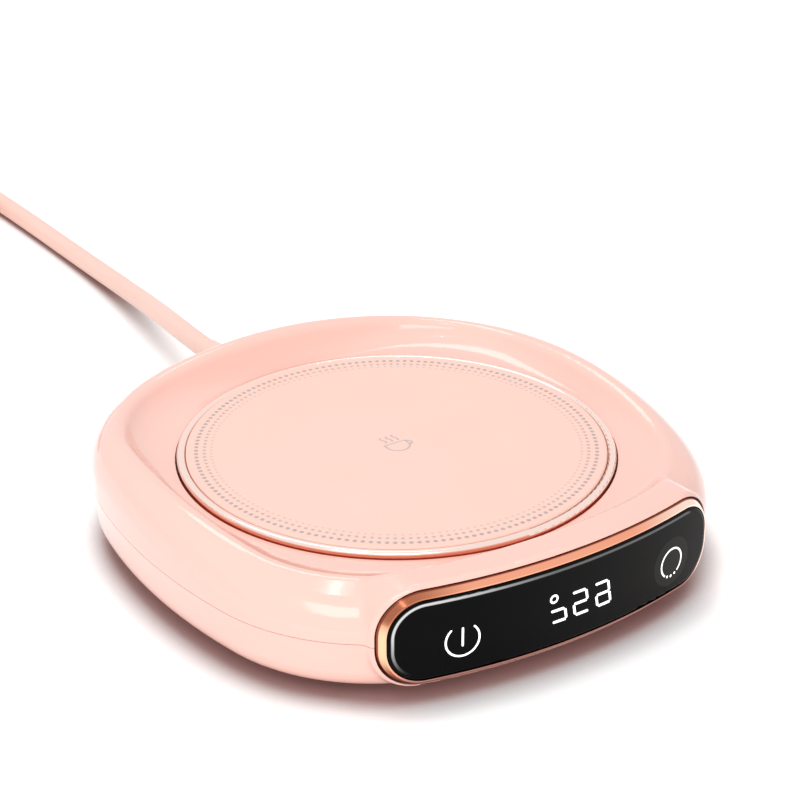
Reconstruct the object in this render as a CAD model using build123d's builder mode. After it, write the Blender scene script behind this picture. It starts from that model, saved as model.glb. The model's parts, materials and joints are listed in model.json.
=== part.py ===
"""Electric mug warmer: a low rounded-square base with a heated plate and a touch panel.

Units are millimetres, +Z is up and the panel faces -Y. The origin is on the table,
under the middle of the heated plate.
"""

import os
from math import atan2, cos, degrees, hypot, pi, radians, sin, tan

from build123d import *

os.makedirs("parts", exist_ok=True)

# ---------------------------------------------------------------- driving dimensions

# Body
body_half = 58.0                # middle of each side, from the plate's axis
corner_radius = 38.2            # plan radius of the four corners
corner_centre = 18.0            # x and y of a corner arc's centre
foot_height = 2.4               # gap between the body and the table
seam_height = 13.3              # joint line between the two shells
seam_gap = 0.12                 # shadow gap that shows at the joint line
wall = 2.2                      # thickness of the moulded shells
lower_draft = 5.0               # inward lean of the lower shell's wall, degrees
lower_edge_round = 5.0          # round where the lower shell's wall meets its bottom
lip_inset = 1.15                # locating lip on the lower shell, in from the outline
lip_height = 1.0
lip_clearance = 0.1

# Crowned top of the body and the bowl in it
crown_radius = 143.0            # sphere that the rim's top follows
crown_height = 35.8             # top of that sphere
crown_lean = 6.5                # the sphere's centre lies this far towards the back
shoulder_round = 8.2            # round between the crown and the side walls
bowl_edge_inset = 6.25          # bowl's edge at the mouth height, in from the body's outline
bowl_mouth_height = 29.5
bowl_wall_inset = 9.4
bowl_wall_height = 22.3
bowl_floor_height = 20.7
bowl_floor_margin = 0.8         # level ring of floor round the opening
rim_round = 2.6                 # round along the bowl's edge and at the panel collar's root

# Heated plate, which floats on three springs and presses a switch
plate_top = 22.0
plate_radius = 43.15
plate_thickness = 2.0
plate_travel = 0.8              # how far a mug presses it down
ring_radius = 45.0
ring_round = 0.7                # the ring's polished top is nearly a half round
ring_bottom = 17.2
ring_opening = 45.35            # hole in the upper shell that the ring moves in
skirt_radius = 47.4             # outside of the collar that hangs below that hole
skirt_bottom = 16.5
ledge_radius = 41.8             # inner edge of the ring's ledge under the plate
ledge_thickness = 0.8
spreader_radius = 41.7
spreader_thickness = 1.0
element_radius = 40.0
element_thickness = 0.8
sensor_radius = 2.5
fuse_x = 15.0
fuse_radius = 0.95
fuse_length = 9.0
plate_edge_round = 0.3
ring_inner = 43.2
ring_sleeve_inner = 43.6
guide_post_bevel = 0.4
carrier_radius = 46.8           # wider than the opening, so that the plate can't come out
carrier_bottom = 15.0
carrier_thickness = 1.2
carrier_rim_inner = 41.9
carrier_rim_outer = 43.4
guide_circle = 30.0             # the three guide posts stand on this radius
guide_count = 3
guide_bearing = 30.0            # direction of the first guide post, degrees
guide_post_radius = 2.4
guide_bore_radius = 2.47
guide_post_bottom = 9.5
guide_tube_radius = 3.4
guide_tube_top = 12.5
spring_radius = 4.3
spring_wire_radius = 0.35
spring_turns = 4

# Switch under the middle of the plate
switch_length = 12.8
switch_width = 5.8
switch_top = 11.5
plunger_radius = 0.9
plunger_bore_radius = 0.97
plunger_bottom = 10.6
plunger_top = 13.2
plunger_end_gap = 0.4
pip_radius = 2.0
curb_width = 0.8                # low frame on the floor that locates the switch
curb_height = 1.6
wire_sides = 6                  # facets round the spring's wire

# Touch panel: outlines grow outwards from the glass's, which is a rounded rectangle
panel_height = 13.85            # middle of the panel above the table
panel_root = 34.0               # the panel's blocks start this far in, inside the body
glass_front = 58.7              # foremost point of the glass, towards -Y
glass_curve = 127.0             # plan radius of the glass
glass_half_length = 37.65
glass_half_height = 8.5
glass_corner = 7.25
glass_thickness = 1.5
glass_edge_round = 0.9
bezel_margin = 1.4              # bezel's outline, out from the glass's
bezel_front_setback = 0.2       # bezel's inner edge lies this far behind the glass
bezel_slope_depth = 1.8         # its bevel falls back this far
bezel_slope_width = 1.1
bezel_back_setback = 4.5
bezel_ledge = 1.5               # width of the ledge behind the glass
seat_gap = 0.05                 # play round the glass
pocket_gap = 0.12               # play round the bezel
pocket_wall = 1.5
collar_margin = 2.2             # swelling of the body round the panel, out from the glass's outline
collar_setback = 1.4            # its front lies this far behind the glass
collar_edge_round = 1.2
icon_height = 13.2              # middle of the display and the keys above the table
power_key_x = -24.0
timer_key_x = 26.0
display_x = 2.4
display_length = 24.0
display_height = 8.0
display_front = 56.1
key_pad_radius = 3.0
window_gap = 0.7
control_board_front = 48.8
control_board_half_length = 29.0
control_board_bottom = 5.8
control_board_top = 16.2
board_thickness = 1.6
key_pad_front = 53.6
slot_rest_x = 26.0              # two slotted blocks carry the control board
slot_rest_width = 4.0
slot_rest_depth = 5.2
slot_rest_height = 4.0

# Power board and what stands on it
power_board_length = 54.0
power_board_width = 21.5
power_board_middle = 32.25      # y of its middle
power_board_bottom = 6.4
board_screw_x = 23.0
board_screw_spread = 14.0
stand_off_radius = 2.0
component_height = 5.5
component_round = 0.6
mains_capacitor_place = (14.4, 29.0)
mains_capacitor_length = 13.0
mains_capacitor_width = 6.0
smoothing_capacitor_place = (-13.0, 38.5)
smoothing_capacitor_radius = 2.75
triac_place = (-13.5, 30.5)
triac_width = 10.2
triac_body_length = 7.5
triac_tab_length = 8.6
triac_tab_thickness = 1.3
triac_thickness = 4.4
terminal_place = (0.0, 38.5)
terminal_length = 15.0
terminal_width = 7.5
terminal_pitch = 5.0
terminal_screw_radius = 1.3
terminal_screw_depth = 1.0
ribbon_x = -14.0
ribbon_width = 8.0
ribbon_thickness = 0.8
ribbon_end_height = 3.4
ribbon_back = 21.4              # y where it reaches the power board's edge
lead_radius = 0.6
heater_lead_x = 2.5
heater_lead_route = ((27.0, 8.7), (19.0, 9.6), (8.0, 12.6))
mains_lead_route = ((3.5, 42.5, 10.6), (3.0, 45.6, 11.3), (1.2, 47.8, 12.6))

# Mains cord
cord_diameter = 5.0
cord_start = 48.2               # y of the cord's end inside the body
cord_exit_height = seam_height  # the cord leaves at the joint line, half in each shell
cord_hole_radius = 3.7
cord_collar_radius = 6.2
cord_collar_back = 59.0
relief_length = 20.0
relief_root_radius = 4.7
relief_tip_radius = 2.95
relief_flange_radius = 5.4
relief_flange_front = 53.4
relief_flange_back = 55.2
clamp_middle = 51.0             # y of the cord clamp
clamp_screw_x = 8.0
clamp_bottom = 15.8             # the bar lies on the cord and on two posts
clamp_length = 21.4
clamp_width = 4.6
clamp_thickness = 1.2
clamp_post_radius = 2.3
cord_points = (
    (0.0, cord_start, cord_exit_height),
    (0.0, 80.0, cord_exit_height),
    (4.9, 112.0, 10.0),
    (10.9, 142.0, 4.5),
    (12.9, 171.0, 2.5),
    (13.2, 211.5, 2.5),
    (12.4, 250.5, 2.5),
)
bend_share = 0.45               # part of the shorter run that a bend may take
coil_middle_radius = 27.5
coil_width = 15.6
coil_height = 10.6
coil_layer_height = 8.1         # cord's middle in the upper layer of turns
coil_turns = 5.5
tie_thickness = 0.6
tie_width = 9.0
plug_lead_length = 28.5
plug_length = 24.0
plug_width = 21.0
plug_tail_length = 12.0
pin_spacing = 12.7
pin_length = 17.0
pin_width = 6.3
pin_thickness = 1.5
plug_corner = 5.0
plug_tail_root = 4.6
plug_edge_round = 1.5

# Fasteners and feet
screw_reach = 38.0              # x and y of the four housing screws
screw_boss_radius = 4.2
screw_boss_top = 11.0           # the lower and upper bosses meet here
screw_head_seat = 6.6
screw_recess_radius = 3.0
housing_hole_radius = 1.6
housing_screw_head = 2.7
housing_screw_head_height = 1.8
housing_screw_radius = 1.35
housing_screw_length = 10.9
upper_boss_radius = 3.2
upper_boss_top = 20.5
pilot_radius = 1.4
pilot_top = 18.5
small_pilot_radius = 0.9
small_hole_radius = 1.15
small_screw_head = 1.8
small_screw_head_height = 1.1
small_screw_radius = 0.85
board_screw_length = 3.4
clamp_screw_length = 7.0
drive_length = 1.3              # cross recess, as a share of the head's radius
drive_width = 0.6
drive_depth = 0.5               # as a share of the head's height
foot_reach = 31.0               # x and y of the four feet
foot_radius = 6.0
foot_recess = 0.6
foot_bevel = 0.6

# ---------------------------------------------------------------- worked-out dimensions

beyond = 200.0                  # longer than the whole body, for clearing cuts
clear = 1.0                     # how far a cut runs past the face that it opens
near = 0.02                     # how closely the edge selectors compare places
cord_radius = cord_diameter / 2
inner_floor = foot_height + wall
corner_reach = corner_centre - body_half
side_radius = (corner_radius**2 - corner_reach**2 - corner_centre**2) / (
    2 * (corner_reach + corner_radius)
)
blend_angle = degrees(atan2(corner_centre, corner_reach + side_radius))
blend_x = body_half - side_radius + side_radius * cos(radians(blend_angle))
blend_y = side_radius * sin(radians(blend_angle))
blend_bearing = degrees(atan2(blend_y, blend_x))
crown_centre = crown_height - crown_radius
panel_centre_y = glass_curve - glass_front
glass_back = glass_curve - glass_thickness
bezel_back = glass_curve - bezel_back_setback
collar_front = glass_curve - collar_setback
pocket_margin = bezel_margin + pocket_gap
plate_bottom = plate_top - plate_thickness
spreader_bottom = plate_bottom - spreader_thickness
element_bottom = spreader_bottom - element_thickness
carrier_top = carrier_bottom + carrier_thickness
pad_thickness = element_bottom - carrier_top
control_board_back = control_board_front - board_thickness
bezel_front = glass_curve - bezel_front_setback
slot_rest_middle = (control_board_front + control_board_back) / 2
spring_rise = carrier_bottom - inner_floor - 2 * spring_wire_radius - seat_gap
power_board_top = power_board_bottom + board_thickness
coil_outer_radius = coil_middle_radius + coil_width / 2
coil_turn_radius = coil_outer_radius - cord_radius
coil_x = cord_points[-1][0] - coil_turn_radius
coil_y = cord_points[-1][1]
plug_x = coil_x - coil_turn_radius
plug_tail_end = coil_y - plug_lead_length
plug_back = plug_tail_end - plug_tail_length
plug_front = plug_back - plug_length


# ---------------------------------------------------------------- shared outlines and forms


def rounded_square(inset):
    """Draw the body's outline, moved in by inset: four bowed sides and four corners."""
    for quarter in range(4):
        turn = 90 * quarter
        side_middle = Vector(body_half - side_radius, 0).rotate(Axis.Z, turn)
        corner_middle = Vector(corner_centre, corner_centre).rotate(Axis.Z, turn)
        CenterArc(side_middle, side_radius - inset, turn - blend_angle, 2 * blend_angle)
        CenterArc(corner_middle, corner_radius - inset, turn + blend_angle, 90 - 2 * blend_angle)


def split_circle(radius):
    """Draw a circle cut at the same eight bearings as the body's outline."""
    for quarter in range(4):
        turn = 90 * quarter
        CenterArc((0, 0), radius, turn - blend_bearing, 2 * blend_bearing)
        CenterArc((0, 0), radius, turn + blend_bearing, 90 - 2 * blend_bearing)


def crowned_block(inset):
    """Upper body form above the seam: upright sides, crowned top and a rounded shoulder."""
    with BuildPart() as block:
        with BuildSketch(Plane.XY.offset(seam_height)):
            with BuildLine():
                rounded_square(inset)
            make_face()
        extrude(amount=crown_height - seam_height)
        with Locations((0, crown_lean, crown_centre)):
            Sphere(crown_radius - inset, mode=Mode.INTERSECT)
        crown = block.faces().filter_by(GeomType.SPHERE)
        fillet(crown.edges(), shoulder_round - inset)
    return block.part


def lower_form(inset, bottom):
    """Lower body form from the seam down to bottom: leaning sides and a rounded lower edge."""
    lean = (seam_height - bottom) * tan(radians(lower_draft))
    with BuildPart() as form:
        with BuildSketch(Plane.XY.offset(bottom)):
            with BuildLine():
                rounded_square(inset + lean)
            make_face()
        with BuildSketch(Plane.XY.offset(seam_height)):
            with BuildLine():
                rounded_square(inset)
            make_face()
        loft(ruled=True)
        fillet(form.faces().sort_by(Axis.Z)[0].edges(), lower_edge_round - inset)
    return form.part


def bowl_form(grow):
    """Space of the bowl around the plate, grown outwards and downwards by grow."""
    with BuildPart() as bowl:
        with BuildSketch(Plane.XY.offset(bowl_mouth_height)) as mouth:
            with BuildLine():
                rounded_square(bowl_edge_inset - grow)
            make_face()
        with BuildSketch(Plane.XY.offset(bowl_wall_height - grow)):
            with BuildLine():
                rounded_square(bowl_wall_inset - grow)
            make_face()
        with BuildSketch(Plane.XY.offset(bowl_floor_height - grow)):
            with BuildLine():
                split_circle(ring_opening + bowl_floor_margin)
            make_face()
        loft()
        extrude(mouth.sketch, amount=crown_height - seam_height)
    return bowl.part


def panel_block(margin, front_radius):
    """Block in the glass's outline, grown by margin, from a curved front back into the body."""
    with BuildPart() as block:
        with BuildSketch(Plane.XZ.offset(panel_root)):
            with Locations((0, panel_height)):
                RectangleRounded(
                    2 * (glass_half_length + margin),
                    2 * (glass_half_height + margin),
                    glass_corner + margin,
                )
        extrude(amount=glass_front)
        with Locations((0, panel_centre_y, panel_height)):
            Cylinder(front_radius, beyond, mode=Mode.INTERSECT)
    return block.part


def panel_slab(margin, front_radius, back_radius):
    """Slab in the panel's outline between two upright cylinders that share the glass's centre."""
    with BuildPart() as slab:
        add(panel_block(margin, front_radius))
        with Locations((0, panel_centre_y, panel_height)):
            Cylinder(back_radius, beyond, mode=Mode.SUBTRACT)
    return slab.part


def collars():
    """Swellings of the body round the panel at the front and round the cord at the back."""
    with BuildPart() as swellings:
        add(panel_block(collar_margin, collar_front))
        with BuildSketch(Plane.XZ.offset(-cord_collar_back)):
            with Locations((0, cord_exit_height)):
                Circle(cord_collar_radius)
        extrude(amount=cord_collar_back - body_half + 2 * wall)
    return swellings.part


def samples(edge):
    """Five points along an edge."""
    return [edge.position_at(step / 4) for step in range(5)]


def off_seam(edge):
    """True unless the edge lies level at the seam."""
    return any(abs(point.Z - seam_height) > seam_gap for point in samples(edge))


def reach(point):
    """Plan distance of a point from the axis of the panel's curve."""
    return hypot(point.X, point.Y - panel_centre_y)


def on_collar_flank(point):
    """True if the point lies on the flank of the panel's collar."""
    along = max(abs(point.X) - (glass_half_length - glass_corner), 0)
    across = max(abs(point.Z - panel_height) - (glass_half_height - glass_corner), 0)
    return abs(hypot(along, across) - glass_corner - collar_margin) < near


def is_collar_root(edge):
    """True if the edge is where the panel's collar grows out of the body."""
    points = samples(edge)
    behind = max(reach(point) for point in points) < collar_front - near
    flank = all(on_collar_flank(point) for point in points)
    return behind and flank and off_seam(edge) and edge.geom_type != GeomType.LINE


def is_bowl_edge(edge):
    """True if the edge is the bowl's, on the crown or across the panel's collar."""
    points = samples(edge)
    high = min(point.Z for point in points) > bowl_wall_height + near
    behind = max(reach(point) for point in points) < collar_front - near
    return high and behind and edge.geom_type == GeomType.BSPLINE


def is_soft_edge(edge):
    """True if the edge is the collar's root or the bowl's edge."""
    return is_collar_root(edge) or is_bowl_edge(edge)


def is_collar_front(edge):
    """True if the edge bounds the front of the panel's collar."""
    return off_seam(edge) and all(abs(reach(p) - collar_front) < near for p in samples(edge))


def save(piece, label):
    """Label one finished piece and write it to its own file."""
    piece.part.label = label
    export_step(piece.part, f"parts/{label}.step")


# ---------------------------------------------------------------- cuts that both shells share

with BuildPart() as front_cuts:
    add(panel_slab(pocket_margin, beyond, bezel_back))
    with BuildSketch(Plane.XZ.offset(control_board_front)):
        with Locations((display_x, icon_height)):
            Rectangle(display_length + 2 * window_gap, display_height + 2 * window_gap)
        with Locations((power_key_x, icon_height), (timer_key_x, icon_height)):
            Circle(key_pad_radius + window_gap / 2)
    extrude(amount=glass_front - control_board_front)

with BuildPart() as cord_hole:
    with BuildSketch(Plane.XZ.offset(-cord_collar_back - clear)):
        with Locations((0, cord_exit_height)):
            Circle(cord_hole_radius)
    extrude(amount=cord_collar_back - clamp_middle)

with BuildPart() as pocket_backing:
    add(panel_slab(pocket_margin + pocket_wall, beyond, bezel_back - pocket_wall))


# ---------------------------------------------------------------- upper housing

with BuildPart() as upper_cavity:
    add(crowned_block(wall))
    add(bowl_form(wall), mode=Mode.SUBTRACT)
    with BuildSketch(Plane.XY.offset(skirt_bottom)):
        Circle(skirt_radius)
    extrude(amount=crown_height, mode=Mode.SUBTRACT)
    add(pocket_backing.part, mode=Mode.SUBTRACT)

with BuildPart() as lip_rebate:
    with BuildSketch(Plane.XY.offset(seam_height)):
        with BuildLine():
            rounded_square(lip_inset - lip_clearance)
        make_face()
        with BuildLine():
            rounded_square(wall + lip_clearance)
        make_face(mode=Mode.SUBTRACT)
    extrude(amount=lip_height + lip_clearance)

with BuildPart() as upper_housing:
    add(crowned_block(0))
    add(collars())
    with BuildSketch(Plane.XY.offset(seam_height + seam_gap / 2)):
        Rectangle(beyond, beyond)
    extrude(amount=-seam_height, mode=Mode.SUBTRACT)
    add(bowl_form(0), mode=Mode.SUBTRACT)
    fillet(upper_housing.edges().filter_by(is_soft_edge), rim_round)
    fillet(upper_housing.edges().filter_by(is_collar_front), collar_edge_round)
    add(upper_cavity.part, mode=Mode.SUBTRACT)
    add(lip_rebate.part, mode=Mode.SUBTRACT)
    add(front_cuts.part, mode=Mode.SUBTRACT)
    add(cord_hole.part, mode=Mode.SUBTRACT)
    with BuildSketch(Plane.XY):
        Circle(ring_opening)
    extrude(amount=crown_height, mode=Mode.SUBTRACT)
    with BuildSketch(Plane.XY.offset(screw_boss_top)):
        with GridLocations(2 * screw_reach, 2 * screw_reach, 2, 2):
            Circle(upper_boss_radius)
    extrude(amount=upper_boss_top - screw_boss_top)
    with BuildSketch(Plane.XY.offset(screw_boss_top)):
        with GridLocations(2 * screw_reach, 2 * screw_reach, 2, 2):
            Circle(pilot_radius)
    extrude(amount=pilot_top - screw_boss_top, mode=Mode.SUBTRACT)

save(upper_housing, "upper_housing")


# ---------------------------------------------------------------- lower housing

with BuildPart() as lower_cavity:
    add(lower_form(wall, inner_floor))
    add(pocket_backing.part, mode=Mode.SUBTRACT)

with BuildPart() as lip:
    with BuildSketch(Plane.XY.offset(seam_height - wall)):
        with BuildLine():
            rounded_square(lip_inset)
        make_face()
        with BuildLine():
            rounded_square(wall)
        make_face(mode=Mode.SUBTRACT)
    extrude(amount=wall + lip_height)

with BuildPart() as lower_housing:
    add(lower_form(0, foot_height))
    add(collars())
    with BuildSketch(Plane.XY.offset(seam_height - seam_gap / 2)):
        Rectangle(beyond, beyond)
    extrude(amount=crown_height, mode=Mode.SUBTRACT)
    fillet(lower_housing.edges().filter_by(is_collar_root), rim_round)
    fillet(lower_housing.edges().filter_by(is_collar_front), collar_edge_round)
    add(lower_cavity.part, mode=Mode.SUBTRACT)
    add(lip.part)

    # Guide tubes for the plate, screw bosses, stand-offs, clamp posts and board slots
    with BuildSketch(Plane.XY.offset(inner_floor)):
        with PolarLocations(guide_circle, guide_count, start_angle=guide_bearing):
            Circle(guide_tube_radius)
    extrude(amount=guide_tube_top - inner_floor)
    with BuildSketch(Plane.XY.offset(inner_floor)):
        with GridLocations(2 * screw_reach, 2 * screw_reach, 2, 2):
            Circle(screw_boss_radius)
    extrude(amount=screw_boss_top - inner_floor)
    with BuildSketch(Plane.XY.offset(inner_floor)):
        with Locations((0, power_board_middle)):
            with GridLocations(2 * board_screw_x, board_screw_spread, 2, 2):
                Circle(stand_off_radius)
    extrude(amount=power_board_bottom - inner_floor)
    with BuildSketch(Plane.XY.offset(inner_floor)):
        with Locations((0, clamp_middle)):
            with GridLocations(2 * clamp_screw_x, 0, 2, 1):
                Circle(clamp_post_radius)
    extrude(amount=clamp_bottom - inner_floor)
    with BuildSketch(Plane.XY.offset(inner_floor)):
        with Locations((0, -slot_rest_middle)):
            with GridLocations(2 * slot_rest_x, 0, 2, 1):
                Rectangle(slot_rest_width, slot_rest_depth)
    extrude(amount=slot_rest_height)
    with BuildSketch(Plane.XY.offset(inner_floor)):
        Rectangle(switch_length + 2 * curb_width, switch_width + 2 * curb_width)
        Rectangle(switch_length + 2 * seat_gap, switch_width + 2 * seat_gap, mode=Mode.SUBTRACT)
    extrude(amount=curb_height)

    # Holes in them
    with BuildSketch(Plane.XY.offset(inner_floor)):
        with PolarLocations(guide_circle, guide_count, start_angle=guide_bearing):
            Circle(guide_bore_radius)
    extrude(amount=guide_tube_top - inner_floor, mode=Mode.SUBTRACT)
    with Locations(Plane((0, 0, foot_height), z_dir=(0, 0, -1))):
        with GridLocations(2 * screw_reach, 2 * screw_reach, 2, 2):
            CounterBoreHole(
                housing_hole_radius,
                screw_recess_radius,
                screw_head_seat - foot_height,
                depth=screw_boss_top - foot_height + clear,
            )
    with BuildSketch(Plane.XY.offset(power_board_bottom)):
        with Locations((0, power_board_middle)):
            with GridLocations(2 * board_screw_x, board_screw_spread, 2, 2):
                Circle(small_pilot_radius)
    extrude(amount=-(power_board_bottom - inner_floor + foot_recess), mode=Mode.SUBTRACT)
    with BuildSketch(Plane.XY.offset(clamp_bottom)):
        with Locations((0, clamp_middle)):
            with GridLocations(2 * clamp_screw_x, 0, 2, 1):
                Circle(small_pilot_radius)
    extrude(amount=-clamp_screw_length, mode=Mode.SUBTRACT)
    with BuildSketch(Plane.XY.offset(control_board_bottom)):
        with Locations((0, -slot_rest_middle)):
            Rectangle(2 * control_board_half_length + clear, board_thickness + 2 * seat_gap)
    extrude(amount=slot_rest_height, mode=Mode.SUBTRACT)
    with BuildSketch(Plane.XY.offset(foot_height)):
        with GridLocations(2 * foot_reach, 2 * foot_reach, 2, 2):
            Circle(foot_radius + seat_gap)
    extrude(amount=foot_recess, mode=Mode.SUBTRACT)
    add(front_cuts.part, mode=Mode.SUBTRACT)
    add(cord_hole.part, mode=Mode.SUBTRACT)

save(lower_housing, "lower_housing")


# ---------------------------------------------------------------- heated plate and its carrier

with BuildPart() as heating_plate:
    with BuildSketch(Plane.XY.offset(plate_bottom)):
        Circle(plate_radius)
    extrude(amount=plate_thickness)
    fillet(heating_plate.faces().sort_by(Axis.Z)[-1].edges(), plate_edge_round)

save(heating_plate, "heating_plate")

with BuildPart() as plate_trim_ring:
    with BuildSketch(Plane.XZ):
        with BuildLine():
            Polyline(
                (ring_radius, ring_bottom),
                (ring_radius, plate_top),
                (ring_inner, plate_top),
                (ring_inner, plate_bottom),
                (ledge_radius, plate_bottom),
                (ledge_radius, plate_bottom - ledge_thickness),
                (ring_sleeve_inner, plate_bottom - ledge_thickness),
                (ring_sleeve_inner, ring_bottom),
                close=True,
            )
        make_face()
    revolve()
    fillet(plate_trim_ring.edges().group_by(Axis.Z)[-1], ring_round)

save(plate_trim_ring, "plate_trim_ring")

with BuildPart() as heat_spreader:
    with BuildSketch(Plane.XY.offset(spreader_bottom)):
        Circle(spreader_radius)
    extrude(amount=spreader_thickness)

save(heat_spreader, "heat_spreader")

with BuildPart() as heating_element:
    with BuildSketch(Plane.XY.offset(element_bottom)):
        Circle(element_radius)
        Circle(sensor_radius + seat_gap, mode=Mode.SUBTRACT)
    extrude(amount=element_thickness)

save(heating_element, "heating_element")

with BuildPart() as insulation_pad:
    with BuildSketch(Plane.XY.offset(carrier_top)):
        Circle(element_radius)
        Circle(sensor_radius + seat_gap, mode=Mode.SUBTRACT)
        with Locations((fuse_x, 0)):
            Rectangle(2 * fuse_radius + 2 * seat_gap, fuse_length + 2 * seat_gap, mode=Mode.SUBTRACT)
    extrude(amount=pad_thickness)

save(insulation_pad, "insulation_pad")

with BuildPart() as temperature_sensor:
    with BuildSketch(Plane.XY.offset(carrier_top)):
        Circle(sensor_radius)
    extrude(amount=spreader_bottom - carrier_top)

save(temperature_sensor, "temperature_sensor")

with BuildPart() as thermal_fuse:
    with BuildSketch(Plane.XZ.offset(-fuse_length / 2)):
        with Locations((fuse_x, carrier_top + fuse_radius)):
            Circle(fuse_radius)
    extrude(amount=fuse_length)

save(thermal_fuse, "thermal_fuse")

with BuildPart() as plate_carrier:
    with BuildSketch(Plane.XY.offset(carrier_bottom)):
        Circle(carrier_radius)
    extrude(amount=carrier_thickness)
    with BuildSketch(Plane.XY.offset(carrier_top)):
        Circle(carrier_rim_outer)
        Circle(carrier_rim_inner, mode=Mode.SUBTRACT)
    extrude(amount=plate_bottom - ledge_thickness - carrier_top)
    with BuildSketch(Plane.XY.offset(guide_post_bottom)):
        with PolarLocations(guide_circle, guide_count, start_angle=guide_bearing):
            Circle(guide_post_radius)
    extrude(amount=carrier_bottom - guide_post_bottom)
    chamfer(plate_carrier.faces().sort_by(Axis.Z)[:guide_count].edges(), guide_post_bevel)
    with BuildSketch(Plane.XY.offset(plunger_top)):
        Circle(pip_radius)
    extrude(amount=carrier_bottom - plunger_top)

save(plate_carrier, "plate_carrier")

with BuildPart() as one_spring:
    with BuildLine(Plane.XY.offset(inner_floor + spring_wire_radius)) as spring_wire:
        Helix(spring_rise / spring_turns, spring_rise, spring_radius)
    with BuildSketch(Plane(spring_wire.line @ 0, z_dir=spring_wire.line % 0)):
        RegularPolygon(spring_wire_radius, wire_sides)
    sweep(is_frenet=True)

with BuildPart() as plate_springs:
    with PolarLocations(guide_circle, guide_count, start_angle=guide_bearing):
        add(one_spring.part)

save(plate_springs, "plate_springs")

with BuildPart() as switch_body:
    with BuildSketch(Plane.XY.offset(inner_floor)):
        Rectangle(switch_length, switch_width)
    extrude(amount=switch_top - inner_floor)
    with BuildSketch(Plane.XY.offset(switch_top)):
        Circle(plunger_bore_radius)
    extrude(amount=-(switch_top - plunger_bottom + plate_travel + plunger_end_gap), mode=Mode.SUBTRACT)

save(switch_body, "switch_body")

with BuildPart() as switch_plunger:
    with BuildSketch(Plane.XY.offset(plunger_bottom)):
        Circle(plunger_radius)
    extrude(amount=plunger_top - plunger_bottom)

save(switch_plunger, "switch_plunger")


# ---------------------------------------------------------------- touch panel

with BuildPart() as panel_bezel:
    add(panel_slab(bezel_margin, bezel_front, bezel_back))
    bezel_face = panel_bezel.faces().sort_by(Axis.Y)[0]
    chamfer(bezel_face.edges(), bezel_slope_width, bezel_slope_depth, reference=bezel_face)
    add(panel_slab(seat_gap, beyond, glass_back), mode=Mode.SUBTRACT)
    add(panel_block(-bezel_ledge, beyond), mode=Mode.SUBTRACT)

save(panel_bezel, "panel_bezel")

with BuildPart() as panel_glass:
    add(panel_slab(0, glass_curve, glass_back))
    fillet(panel_glass.faces().sort_by(Axis.Y)[0].edges(), glass_edge_round)

save(panel_glass, "panel_glass")

with BuildPart() as control_board:
    with BuildSketch(Plane.XZ.offset(control_board_back)):
        with Locations((0, control_board_bottom)):
            Rectangle(
                2 * control_board_half_length,
                control_board_top - control_board_bottom,
                align=(Align.CENTER, Align.MIN),
            )
    extrude(amount=board_thickness)

save(control_board, "control_board")

with BuildPart() as display_module:
    with BuildSketch(Plane.XZ.offset(control_board_front)):
        with Locations((display_x, icon_height)):
            Rectangle(display_length, display_height)
    extrude(amount=display_front - control_board_front)

save(display_module, "display_module")

with BuildPart() as touch_pads:
    with BuildSketch(Plane.XZ.offset(control_board_front)):
        with Locations((power_key_x, icon_height), (timer_key_x, icon_height)):
            Circle(key_pad_radius)
    extrude(amount=key_pad_front - control_board_front)

save(touch_pads, "touch_pads")


# ---------------------------------------------------------------- power board and wiring

with BuildPart() as power_board:
    with BuildSketch(Plane.XY.offset(power_board_bottom)):
        with Locations((0, power_board_middle)):
            Rectangle(power_board_length, power_board_width)
            with GridLocations(2 * board_screw_x, board_screw_spread, 2, 2):
                Circle(small_hole_radius, mode=Mode.SUBTRACT)
    extrude(amount=board_thickness)

save(power_board, "power_board")

with BuildPart() as mains_capacitor:
    with BuildSketch(Plane.XY.offset(power_board_top)):
        with Locations(mains_capacitor_place):
            Rectangle(mains_capacitor_length, mains_capacitor_width)
    extrude(amount=component_height)
    fillet(mains_capacitor.edges().filter_by(Axis.Z), component_round)

save(mains_capacitor, "mains_capacitor")

with BuildPart() as smoothing_capacitor:
    with BuildSketch(Plane.XY.offset(power_board_top)):
        with Locations(smoothing_capacitor_place):
            Circle(smoothing_capacitor_radius)
    extrude(amount=component_height)
    fillet(smoothing_capacitor.faces().sort_by(Axis.Z)[-1].edges(), component_round)

save(smoothing_capacitor, "smoothing_capacitor")

with BuildPart() as triac:
    with BuildSketch(Plane.XY.offset(power_board_top)):
        with Locations(triac_place):
            Rectangle(triac_width, triac_tab_length)
    extrude(amount=triac_tab_thickness)
    with BuildSketch(Plane.XY.offset(power_board_top)):
        with Locations(triac_place):
            Rectangle(triac_width, triac_body_length, align=(Align.CENTER, Align.MAX))
    extrude(amount=triac_thickness)

save(triac, "triac")

with BuildPart() as terminal_block:
    with BuildSketch(Plane.XY.offset(power_board_top)):
        with Locations(terminal_place):
            Rectangle(terminal_length, terminal_width)
    extrude(amount=component_height)
    with BuildSketch(Plane.XY.offset(power_board_top + component_height)):
        with Locations(terminal_place):
            with GridLocations(terminal_pitch, 0, 3, 1):
                Circle(terminal_screw_radius)
    extrude(amount=-terminal_screw_depth, mode=Mode.SUBTRACT)

save(terminal_block, "terminal_block")

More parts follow.
